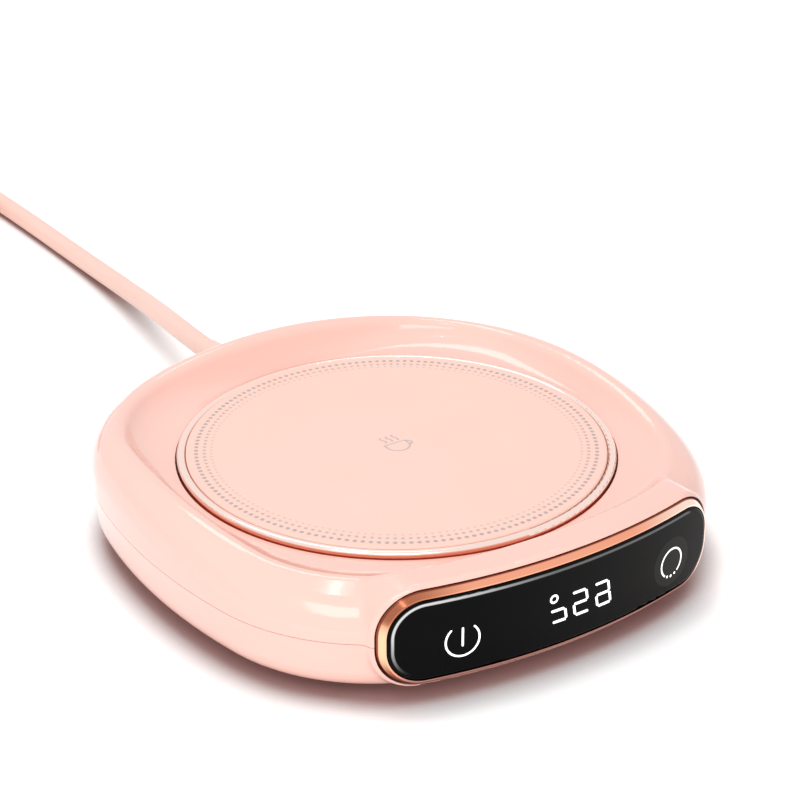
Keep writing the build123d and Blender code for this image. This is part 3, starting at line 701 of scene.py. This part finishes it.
# each row names pieces of the construction model and the finish that they share
NODE_FINISHES: tuple[tuple[str, Finish], ...] = (
    ("upper_housing lower_housing", Finish(
        "pink_gloss_shell", "#FCCABD", "#FBC5B7", mottle=0.35, grain=420.0, relief=0.004 * MM,
        roughness=0.13, spread=0.03, coat=0.35, coat_roughness=0.07,
    )),
    ("heating_plate", Finish(
        "pink_plate_lacquer", "#FCD0C2", "#FBCCBE", mottle=0.3, grain=1400.0, relief=0.006 * MM,
        roughness=0.38, spread=0.06,
    )),
    # the bezel's plating carries painted reflections, a painted highlight and painted shade
    ("panel_bezel", PlatingWithPaintedLight(
        "rose_gold_plating", "#F5A888", "#EE9B7B", mottle=0.4, grain=900.0, relief=0.002 * MM,
        roughness=0.14, spread=0.05, metallic=1.0,
    )),
    # the ring's upright side carries painted shade and a painted reflection
    ("plate_trim_ring", TurnedRing(
        "rose_gold_turned", "#FAE3DA", "#F4D3C7", mottle=0.3, grain=2600.0, relief=0.0015 * MM,
        roughness=0.14, spread=0.04, metallic=1.0, effect=SharedEffect.TURNED,
    )),
    # the glass carries a painted highlight line and a painted reflection
    ("panel_glass", GlassWithPaintedHighlight(
        "black_panel_glass", "#050505", "#080808", grain=300.0, relief=0.0, roughness=0.05,
        spread=0.03, specular=0.05,
    )),
    ("strain_relief power_cord cord_coil plug_lead", CORD_JACKET),
    ("plug_body", Finish(
        "pink_plug_plastic", "#FCCDBF", "#F8C3B4", mottle=0.4, grain=1100.0, roughness=0.4,
    )),
    ("cord_tie", Finish(
        "white_tie_paper", "#F1EFEA", "#E4E1DA", mottle=0.6, grain=2600.0, relief=0.03 * MM,
        roughness=0.7, spread=0.1,
    )),
    ("heat_spreader", Finish(
        "aluminium_plate", "#C9CBCD", "#B6B9BC", mottle=0.6, grain=1800.0, relief=0.006 * MM,
        roughness=0.32, spread=0.12, metallic=1.0, effect=SharedEffect.TURNED,
    )),
    ("heating_element", Finish(
        "amber_mica", "#B08A58", "#8F6B3E", mottle=0.9, grain=700.0, relief=0.03 * MM,
        roughness=0.4, spread=0.15, coat=0.2,
    )),
    ("insulation_pad", Finish(
        "white_ceramic_felt", "#E9E6DF", "#D2CEC4", mottle=0.9, grain=3200.0, relief=0.15 * MM,
        roughness=0.95, spread=0.05,
    )),
    ("plate_carrier cord_clamp switch_plunger", Finish(
        "white_nylon", "#ECEAE4", "#E0DDD5", roughness=0.45, dust=0.04,
    )),
    ("switch_body display_module triac smoothing_capacitor", Finish(
        "dark_glass_filled_plastic", "#1E1F21", "#2A2B2E", mottle=0.6, grain=1700.0,
        relief=0.03 * MM, roughness=0.5, spread=0.1, dust=0.05,
    )),
    ("mains_capacitor", Finish("yellow_capacitor_box", "#D9A63C", "#C7922C", grain=1200.0)),
    ("terminal_block", Finish(
        "green_terminal_plastic", "#2F8F5B", "#277B4D", grain=1400.0, roughness=0.42,
    )),
    ("temperature_sensor thermal_fuse", Finish(
        "glazed_sensor_bead", "#C9B79C", "#A8957A", mottle=0.7, grain=2200.0, roughness=0.3,
        spread=0.1, coat=0.4,
    )),
    ("control_board power_board", BoardFinish(
        "green_circuit_board", "#1D5C3A", "#174D30", mottle=0.6, grain=900.0,
    )),
    ("touch_pads", Finish(
        "grey_pad_foam", "#5A5C60", "#46484B", mottle=0.8, grain=3600.0, relief=0.1 * MM,
        roughness=0.9, spread=0.06,
    )),
    ("plate_springs", SPRING_STEEL),
    ("housing_screws board_screws clamp_screws", Finish(
        "zinc_screw_steel", "#BFC1C2", "#A3A6A8", mottle=0.6, grain=2400.0, relief=0.01 * MM,
        roughness=0.34, spread=0.12, metallic=1.0,
    )),
    ("ribbon_cable", Finish("grey_ribbon_jacket", "#9A9C9E", "#85878A", roughness=0.5)),
    ("heater_leads mains_leads", Finish("red_wire_jacket", "#B3322B", "#9A2823", roughness=0.42)),
    ("rubber_feet", Finish(
        "grey_foot_rubber", "#8C8480", "#77706C", mottle=0.7, grain=2800.0, relief=0.06 * MM,
        roughness=0.85,
    )),
    ("plug_pins", Finish(
        "nickel_plug_pins", "#C9C3B4", "#B3AC9B", grain=2200.0, relief=0.008 * MM, roughness=0.22,
        spread=0.1, metallic=1.0,
    )),
)


def dress(piece: Piece, finish: Finish) -> None:
    """Give a piece one material all over."""
    piece.data.materials.clear()
    piece.data.materials.append(finish.material())


# ------------ lines, signs and prints


def round_line(
    name: str, kind: str, knots: Sequence[tuple[Place, float]], width: float, roundness: int
) -> Piece:
    """Draw a round line with closed ends.

    Args:
        name: The line's name.
        kind: The kind of spline.
        knots: Each of its points, with the share of the width that the line has there.
        width: The line's width.
        roundness: How finely it is rounded.

    Returns:
        The line, still a curve.
    """
    line = bpy.data.curves.new(name, "CURVE")
    line.dimensions = "3D"
    line.bevel_depth = width / 2
    line.bevel_resolution = roundness
    line.use_fill_caps = True
    spline = line.splines.new(kind)
    spline.points.add(len(knots) - 1)
    for knot, (place, share) in zip(spline.points, knots):
        knot.co = (*place, 1.0)
        knot.radius = share
    return put(name, line)


ROUND_END = ((0.5, 0.02), (0.44, 0.48), (0.25, 0.87))


def stroke(points: Sequence[Flat], width: float, facing: Facing) -> Piece:
    """Draw one line of ink with round ends, as a thin solid at height zero of its plane.

    Args:
        points: The middle of the line, across and up in its own plane.
        width: The line's width.
        facing: The plane that it is drawn in.

    Returns:
        The line as a mesh, with its thickness still as large as its width.
    """
    first = Vector(points[0]) - Vector(points[1])
    last = Vector(points[-1]) - Vector(points[-2])
    ends = [(reach * width, share) for reach, share in ROUND_END]
    path = [(Vector(points[0]) + first.normalized() * reach, share) for reach, share in ends]
    path += [(Vector(point), 1.0) for point in points]
    path += [(Vector(points[-1]) + last.normalized() * reach, s) for reach, s in reversed(ends)]
    flat = facing is Facing.UP
    knots = [((at.x, at.y, 0.0) if flat else (at.x, 0.0, at.y), share) for at, share in path]
    pick(round_line("stroke", "POLY", knots, width, roundness=1))
    bpy.ops.object.convert(target="MESH")
    return bpy.context.object


def arc(centre: Flat, radius: float, start: float, end: float, steps: int = 40) -> list[Flat]:
    """Give points along an arc.

    Args:
        centre: The arc's centre.
        radius: Its radius.
        start: Its first bearing, in degrees anticlockwise from the right.
        end: Its last bearing.
        steps: How many straight pieces stand for it.

    Returns:
        The points, from the first bearing to the last.
    """
    x, y = centre
    bearings = [math.radians(start + (end - start) * step / steps) for step in range(steps + 1)]
    return [(x + radius * math.cos(turn), y + radius * math.sin(turn)) for turn in bearings]


@dataclass
class PlatePrint:
    """The print on the heated plate: three rings of dots and a plain cup sign."""

    dot_count: int = 168
    rings: tuple[Flat, ...] = (
        (41.0 * MM, 0.45 * MM),
        (39.3 * MM, 0.38 * MM),
        (37.9 * MM, 0.3 * MM),
    )
    dot_sides: int = 10
    ink_depth: float = 0.03 * MM
    cup_centre: Flat = (0.0, -0.4 * MM)
    cup_width: float = 5.0 * MM
    cup_wall: float = 1.15 * MM
    handle_radius: float = 0.85 * MM
    handle_sweep: Flat = (-80.0, 90.0)
    handle_steps: int = 16
    steam_foot: float = 2.1 * MM
    steam_rise: float = 2.4 * MM
    steam_gap: float = 1.42 * MM
    steam_sway: float = 0.24 * MM
    steam_steps: int = 12
    line_width: float = 0.42 * MM

    @property
    def surface(self) -> float:
        """Height of the plate's top."""
        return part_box("heating_plate")[1].z

    def build(self) -> None:
        """Print the plate."""
        self.build_dots()
        self.build_cup_sign()

    def build_dots(self) -> None:
        """Press one dot of each ring, then repeat the three round the plate."""
        dots = []
        for radius, dot_radius in self.rings:
            place = (radius, 0.0, self.surface)
            bpy.ops.mesh.primitive_circle_add(
                vertices=self.dot_sides, radius=dot_radius, fill_type="NGON", location=place
            )
            dot = bpy.context.object
            shape(dot, extrusion(0.0, 0.0, self.ink_depth))
            dots.append(settle(dot))
        print_rings = settle(join(dots, "plate_dot_print"))
        bpy.ops.object.empty_add(rotation=(0.0, 0.0, math.tau / self.dot_count))
        turner = bpy.context.object
        repeat = print_rings.modifiers.new("repeat", "ARRAY")
        repeat.count = self.dot_count
        repeat.use_relative_offset = False
        repeat.use_object_offset = True
        repeat.offset_object = turner
        apply_modifiers(print_rings)
        bpy.data.objects.remove(turner)
        dress(print_rings, PLATE_INK)
        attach(print_rings, Body.PLATE.value)

    def build_cup_sign(self) -> None:
        """Draw a plain cup with a handle and three wisps of steam."""
        x, y = self.cup_centre
        half = self.cup_width / 2
        rim = y + self.cup_wall
        bowl = [(x - half, rim), (x - half, y), *arc((x, y), half, 180.0, 360.0)]
        bowl += [(x + half, rim), (x - half, rim)]
        handle = arc((x + half, y), self.handle_radius, *self.handle_sweep, self.handle_steps)
        paths = [bowl, handle]
        for wisp in (-1, 0, 1):
            middle, foot = x + wisp * self.steam_gap, y + self.steam_foot
            shares = [step / self.steam_steps for step in range(self.steam_steps + 1)]
            sways = [self.steam_sway * math.sin(math.tau * share) for share in shares]
            rises = [self.steam_rise * share for share in shares]
            paths.append([(middle + sway, foot + rise) for sway, rise in zip(sways, rises)])
        lines = [stroke(path, self.line_width, Facing.UP) for path in paths]
        sign = join(lines, "plate_cup_sign")
        sign.scale.z = self.ink_depth / self.line_width
        sign.location.z = self.surface
        settle(sign)
        dress(sign, SIGN_INK)
        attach(sign, Body.PLATE.value)


class Segment(Enum):
    """The bars of a digit: middle across and up, in half sizes of the digit, and if upright."""

    TOP = (0.0, 1.0, False)
    MIDDLE = (0.0, 0.0, False)
    BOTTOM = (0.0, -1.0, False)
    UPPER_RIGHT = (1.0, 0.5, True)
    LOWER_LEFT = (-1.0, -0.5, True)
    LOWER_RIGHT = (1.0, -0.5, True)


THREE_BARS = (Segment.MIDDLE, Segment.LOWER_RIGHT, Segment.BOTTOM)
TWO = (Segment.TOP, Segment.UPPER_RIGHT, Segment.MIDDLE, Segment.LOWER_LEFT, Segment.BOTTOM)
SIX_BARS = (*TWO[:-1], Segment.LOWER_RIGHT, Segment.BOTTOM)


@dataclass
class PanelSigns:
    """What shines through the black glass: the two keys' signs and the display's digits."""

    glow_depth: float = 0.03 * MM
    curve_radius: float = 127.0 * MM
    line_width: float = 0.44 * MM
    power_centre: Flat = (-23.45 * MM, 12.4 * MM)
    power_radius: float = 3.35 * MM
    power_gap: float = 44.0
    power_bar: Flat = (11.25 * MM, 14.85 * MM)
    timer_centre: Flat = (26.75 * MM, 12.2 * MM)
    timer_radius: float = 3.0 * MM
    timer_gap: float = 40.0
    timer_dots: Place = (-112.0, -90.0, -68.0)
    timer_dot_radius: float = 0.3 * MM
    timer_dot_sides: int = 12
    lit: tuple[tuple[Segment, ...], ...] = (THREE_BARS, TWO, SIX_BARS)
    digit_places: Place = (-3.26 * MM, 2.1 * MM, 7.56 * MM)
    digit_middle: float = 13.0 * MM
    digit_half_width: float = 1.65 * MM
    digit_half_height: float = 2.45 * MM
    digit_lean: float = -0.17
    bar_width: float = 0.56 * MM
    bar_gap: float = 0.28 * MM
    bar_point: float = 0.32
    degree_centre: Flat = (-4.18 * MM, 15.62 * MM)
    degree_radius: float = 0.75 * MM
    degree_line: float = 0.5 * MM
    degree_sweep: Flat = (0.0, 358.0)
    degree_steps: int = 24

    def glass_at(self, across: float) -> float:
        """Give the glass's Y at a distance across from its middle."""
        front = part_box("panel_glass")[0].y
        return front + self.curve_radius - math.sqrt(self.curve_radius**2 - across**2)

    def finish_sign(self, lines: Sequence[Piece], name: str) -> None:
        """Join a sign's lines, press them to their thickness on the glass and light them.

        Args:
            lines: The lines of the sign, drawn upright at zero depth.
            name: The sign's name.
        """
        sign = settle(join(lines, name))
        points = sign.data.vertices
        deepest = max(abs(point.co.y) for point in points)
        for point in points:
            pressed = point.co.y / deepest * self.glow_depth
            point.co.y = self.glass_at(point.co.x) + pressed
        smooth(sign)
        dress(sign, LIT_WHITE)
        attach(sign, Body.BASE.value)

    def build(self) -> None:
        """Light every sign."""
        self.build_power_sign()
        self.build_timer_sign()
        self.build_digits()

    def build_power_sign(self) -> None:
        """Draw the power sign: an open ring with a bar in its gap."""
        gap = self.power_gap
        ring = arc(self.power_centre, self.power_radius, 90.0 + gap, 450.0 - gap)
        bar = [(self.power_centre[0], height) for height in self.power_bar]
        lines = [stroke(points, self.line_width, Facing.FRONT) for points in (ring, bar)]
        self.finish_sign(lines, "power_key_sign")

    def build_timer_sign(self) -> None:
        """Draw the timer sign: a ring that ends in three dots."""
        gap = self.timer_gap
        ring = arc(self.timer_centre, self.timer_radius, -90.0 + gap, 270.0 - gap)
        lines = [stroke(ring, self.line_width, Facing.FRONT)]
        for bearing in self.timer_dots:
            x, z = arc(self.timer_centre, self.timer_radius, bearing, bearing, 1)[0]
            sides, radius = self.timer_dot_sides, self.timer_dot_radius
            bpy.ops.mesh.primitive_uv_sphere_add(
                segments=sides, ring_count=sides // 2, radius=radius, location=(x, 0.0, z)
            )
            lines.append(settle(bpy.context.object))
        self.finish_sign(lines, "timer_key_sign")

    def build_bar(self, middle: Flat, length: float, upright: bool) -> Piece:
        """Model one bar of a digit, a flat stick with pointed ends that leans with the digit.

        Args:
            middle: The bar's middle, across and up from the digit's own middle.
            length: Its length from tip to tip.
            upright: Whether it stands.

        Returns:
            The bar, at zero depth.
        """
        size = (self.bar_width, length) if upright else (length, self.bar_width)
        bpy.ops.mesh.primitive_plane_add(size=1.0, rotation=(math.radians(90.0), 0.0, 0.0))
        bar = bpy.context.object
        bar.scale = (*size, 1.0)
        offset = self.bar_width * self.bar_point
        cut_corners = partial(bpy.ops.mesh.bevel, offset=offset, affect="VERTICES", segments=1)
        shape(settle(bar), cut_corners, extrusion(0.0, -self.bar_width, 0.0))
        for point in bar.data.vertices:
            point.co.x += middle[0] + self.digit_lean * (point.co.z + middle[1])
            point.co.z += middle[1]
        return bar

    def build_digits(self) -> None:
        """Light the display's bars and the small degree ring."""
        bars = []
        upright_length = self.digit_half_height - self.bar_gap
        level_length = 2 * self.digit_half_width - self.bar_gap
        for place, segments in zip(self.digit_places, self.lit):
            for segment in segments:
                across, up, upright = segment.value
                middle = (across * self.digit_half_width, up * self.digit_half_height)
                bar = self.build_bar(middle, upright_length if upright else level_length, upright)
                bar.location = (place, 0.0, self.digit_middle)
                bars.append(settle(bar))
        ring = arc(self.degree_centre, self.degree_radius, *self.degree_sweep, self.degree_steps)
        bars.append(stroke(ring, self.degree_line, Facing.FRONT))
        self.finish_sign(bars, "display_digits")


# ------------ springs


@dataclass
class PlateSprings:
    """The three coil springs under the plate's carrier."""

    wire_radius: float = 0.35 * MM
    wire_sides: int = 10
    coil_radius: float = 4.3 * MM
    turns: int = 4
    steps_per_turn: int = 24
    circle: float = 30.0 * MM
    bearings: Place = (30.0, 150.0, 270.0)
    travel: float = 0.8 * MM

    def build_spring(self, low: float, high: float) -> Piece:
        """Wind one spring round the Z axis from a ring of wire.

        Args:
            low: The height of its foot.
            high: The height of its top.

        Returns:
            The spring, closed at both ends of its wire.
        """
        bpy.ops.mesh.primitive_circle_add(
            vertices=self.wire_sides,
            radius=self.wire_radius,
            location=(self.coil_radius, 0.0, low + self.wire_radius),
            rotation=(math.radians(90.0), 0.0, 0.0),
        )
        spring = settle(bpy.context.object)
        winding = spring.modifiers.new("winding", "SCREW")
        winding.axis = "Z"
        winding.iterations = self.turns
        winding.screw_offset = (high - low - 2 * self.wire_radius) / self.turns
        winding.steps = winding.render_steps = self.steps_per_turn
        apply_modifiers(spring)
        shape(spring, partial(bpy.ops.mesh.fill_holes, sides=0))
        return spring

    def build(self) -> None:
        """Wind one spring and copy it round the plate's axis."""
        low, high = (corner.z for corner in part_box("plate_springs"))
        springs = [self.build_spring(low, high)]
        for _ in self.bearings[1:]:
            pick(springs[0])
            bpy.ops.object.duplicate()
            springs.append(bpy.context.object)
        for spring, bearing in zip(springs, self.bearings):
            turn = math.radians(bearing)
            spring.location = (self.circle * math.cos(turn), self.circle * math.sin(turn), 0.0)
            spring.rotation_euler.z = turn
            settle(spring)
        coils = settle(join(springs, "plate_spring_coils"))
        smooth(coils)
        dress(coils, SPRING_STEEL)
        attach(coils, Body.BASE.value)
        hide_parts("plate_springs")
        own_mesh(coils)


# ------------ mains cord


@dataclass
class MainsCord:
    """The pink mains cord: its free stretch, its stored coil and the lead to its plug.

    Each shift of the coil gives the two bearings between which the cord moves over, and the turn
    and the layer that it moves to.
    """

    diameter: float = 5.0 * MM
    roundness: int = 6
    fineness: int = 8
    order: int = 3
    route: tuple[Place, ...] = (
        (0.0, 0.0482, 0.0133),
        (0.0, 0.0800, 0.0133),
        (0.0049, 0.1120, 0.0100),
        (0.0109, 0.1420, 0.0045),
        (0.0129, 0.1710, 0.0025),
        (0.0132, 0.2115, 0.0025),
        (0.0124, 0.2505, 0.0025),
    )
    coil_centre: Flat = (-0.0204, 0.2505)
    coil_turns: float = 5.5
    points_per_turn: int = 24
    turn_radii: Place = (22.2 * MM, 27.5 * MM, 32.8 * MM)
    layers: Flat = (2.5 * MM, 8.1 * MM)
    shifts: tuple[tuple[float, float, int, int], ...] = (
        (295.0, 350.0, 1, 0),
        (655.0, 710.0, 0, 0),
        (958.0, 1012.0, 0, 1),
        (1263.0, 1312.0, 1, 1),
        (1623.0, 1672.0, 2, 1),
    )
    lead_end: float = 0.2220
    length: float = 1.19

    def coil_points(self) -> list[Place]:
        """Wind the coil: three turns on the floor, then two and a half on top of them.

        Returns:
            Its points, a little outside the turns so that the smooth line runs along them.
        """
        points = []
        hull = 1 / math.cos(math.pi / self.points_per_turn)
        for step in range(1, int(self.coil_turns * self.points_per_turn) + 1):
            bearing = 360.0 * step / self.points_per_turn
            radius, height = self.turn_radii[-1], self.layers[0]
            for begin, end, turn, layer in self.shifts:
                share = min(max((bearing - begin) / (end - begin), 0.0), 1.0)
                ease = share * share * (3 - 2 * share)
                radius += (self.turn_radii[turn] - radius) * ease
                height += (self.layers[layer] - height) * ease
            around = math.radians(bearing)
            x = self.coil_centre[0] + radius * hull * math.cos(around)
            y = self.coil_centre[1] + radius * hull * math.sin(around)
            points.append((x, y, height))
        return points

    def build(self) -> None:
        """Lay the cord."""
        coil = self.coil_points()
        points = [*self.route, *coil, (coil[-1][0], self.lead_end, self.layers[-1])]
        knots = [(point, 1.0) for point in points]
        cord = round_line("mains_cord", "NURBS", knots, self.diameter, self.roundness)
        cord.data.resolution_u = self.fineness
        spline = cord.data.splines[0]
        spline.order_u = self.order
        spline.use_endpoint_u = True
        cord.data.materials.append(CORD_JACKET.material())
        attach(cord, Body.BASE.value)
        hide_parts("power_cord", "cord_coil", "plug_lead")


# ------------ studio


MIDDLE = (0.0, 0.0, 0.02)


@dataclass(frozen=True)
class Lamp:
    """One soft box: where it stands, how large and how bright it is and what it faces."""

    name: str
    place: Place
    size: Flat
    power: float
    aim: Place = MIDDLE
    mirrored: bool = True
    oval: bool = False

    def build(self) -> None:
        """Hang the soft box."""
        light = bpy.data.lights.new(self.name, "AREA")
        light.shape = "ELLIPSE" if self.oval else "RECTANGLE"
        light.size, light.size_y = self.size
        light.energy = self.power
        lamp = put(self.name, light)
        lamp.location = self.place
        aim = Vector(self.aim) - Vector(self.place)
        lamp.rotation_euler = aim.to_track_quat("-Z", "Y").to_euler()
        lamp.visible_glossy = self.mirrored


LAMPS = (
    Lamp("key_above", (-0.05, 0.26, 1.07), (0.6, 0.6), 3.0, mirrored=False),
    Lamp("window_front", (-0.43, -0.48, 0.77), (0.7, 0.42), 2.8),
    Lamp("fill_low", (-0.76, -0.88, 0.26), (0.7, 0.5), 4.6, mirrored=False),
    Lamp("card_behind", (0.167, 0.62, 0.89), (0.62, 0.26), 1.2, oval=True),
    Lamp(
        "shoulder_spark", (-0.065, 0.14, 1.0), (0.11, 0.016), 0.08,
        aim=(-0.04, -0.04, 0.02), oval=True,
    ),
)


@dataclass
class Studio:
    """A white floor in a white room, soft boxes and the camera.

    The floor carries a painted shadow, darkest where little open sky is over it, and each band of
    shares blends to the next paler tone. Out in the open it grows paler between the two distances
    of far_share.
    """

    room_light: float = 0.5
    floor_size: float = 8.0
    floor_colour: Colour = (0.86, 0.86, 0.86, 1.0)
    floor_seen: Colour = (1.3, 1.3, 1.3, 1.0)
    far_seen: Colour = (2.1, 2.1, 2.1, 1.0)
    far_share: Flat = (0.4, 1.2)
    # painted shadow tones, next to the object and a little further out
    painted_shadow_tone: Colour = (0.36, 0.24, 0.235, 1.0)
    painted_soft_shadow_tone: Colour = (0.8, 0.82, 0.83, 1.0)
    contact_reach: float = 11.0 * MM
    contact_share: Flat = (0.36, 0.66)
    near_share: Flat = (0.55, 0.97)
    contact_samples: int = 16
    target_height: float = 22.0 * MM
    distance: float = 450.0 * MM
    azimuth: float = 33.9
    elevation: float = 26.86
    heading: float = 34.0
    pitch: float = 25.70
    lens: float = 98.7

    def build(self) -> None:
        """Set up the room, the lamps and the camera."""
        self.build_room()
        self.build_floor()
        for lamp in LAMPS:
            lamp.build()
        self.build_camera()
        bpy.context.scene.view_settings.view_transform = "Standard"

    @staticmethod
    def seen_directly(graph: NodeGraph) -> Socket:
        """Find the rays that show the background.

        Args:
            graph: The graph of the floor or the room.

        Returns:
            1 for rays to the camera, in gloss and through glass, and 0 for all others.
        """
        rays = graph.add("ShaderNodeLightPath").outputs
        direct = graph.maths("MAXIMUM", rays["Is Camera Ray"], rays["Is Glossy Ray"])
        return graph.maths("MAXIMUM", direct, rays["Is Transmission Ray"])

    def build_room(self) -> None:
        """Make the room white to look at and softer as a light."""
        world = bpy.data.worlds.new("white_room")
        bpy.context.scene.world = world
        world.use_nodes = True
        graph = NodeGraph(world.node_tree)
        seen = self.seen_directly(graph)
        strength = graph.maths("MULTIPLY_ADD", seen, 1.0 - self.room_light, self.room_light)
        room = {"Color": (1.0, 1.0, 1.0, 1.0), "Strength": strength}
        graph.feed(world.node_tree.nodes["Background"], room)

    def build_floor(self) -> None:
        """Lay the floor: it keeps the object's shadow, adds a painted shadow near it and is white
        away from it.
        """
        bpy.ops.mesh.primitive_plane_add(size=self.floor_size)
        floor = bpy.context.object
        floor.name = floor.data.name = "floor"
        paint = bpy.data.materials.new("studio_floor")
        paint.use_nodes = True
        graph = NodeGraph(paint.node_tree)
        nodes = paint.node_tree.nodes
        nodes.remove(nodes["Principled BSDF"])
        # painted shadow: the floor darkens where little open sky is over it
        reach = {"Distance": self.contact_reach}
        nearby = graph.add("ShaderNodeAmbientOcclusion", reach, samples=self.contact_samples)
        sky = nearby.outputs["AO"]
        shaded = graph.mix(graph.band(sky, *self.contact_share), self.painted_shadow_tone, self.painted_soft_shadow_tone)
        away = graph.length(graph.place())
        unshaded = graph.mix(graph.band(away, *self.far_share), self.floor_seen, self.far_seen)
        seen = graph.mix(graph.band(sky, *self.near_share), shaded, unshaded)
        colour = graph.mix(self.seen_directly(graph), self.floor_colour, seen)
        surface = graph.add("ShaderNodeBsdfDiffuse", {"Color": colour})
        graph.feed(nodes["Material Output"], {"Surface": surface.outputs[0]})
        floor.data.materials.append(paint)

    def build_camera(self) -> None:
        """Stand the camera in front, to the left and above, looking down at the plate."""
        camera = bpy.data.cameras.new("camera")
        camera.lens = self.lens
        stand = put("camera", camera)
        around, above = math.radians(self.azimuth), math.radians(self.elevation)
        level = self.distance * math.cos(above)
        stand.location = (
            -level * math.sin(around),
            -level * math.cos(around),
            self.target_height + self.distance * math.sin(above),
        )
        tilt, turn = math.radians(90.0 - self.pitch), -math.radians(self.heading)
        stand.rotation_euler = (tilt, 0.0, turn)
        bpy.context.scene.camera = stand


# ------------ assembly


def dress_nodes() -> None:
    """Give every piece of the construction model its finish."""
    finishes = {name: finish for names, finish in NODE_FINISHES for name in names.split()}
    for name, node in frame["nodes"].items():
        dress(node, finishes[name])
        log.info("%s: %s", name, finishes[name].name)


def main() -> None:
    """Build the looks in order."""
    logging.basicConfig(level=logging.INFO, format="%(name)s: %(message)s")
    build_grain(SharedEffect.MOULDED, NodeGraph.place)
    build_grain(SharedEffect.TURNED, turned_place)
    build_dust()
    dress_nodes()
    for part in (Studio(), MainsCord(), PlateSprings(), PlatePrint(), PanelSigns()):
        known = {piece.name for piece in bpy.data.objects}
        part.build()
        for piece in bpy.data.objects:
            if piece.name not in known:
                log.info("%s: %s", type(part).__name__, piece.name)


if __name__ == "__main__":
    main()
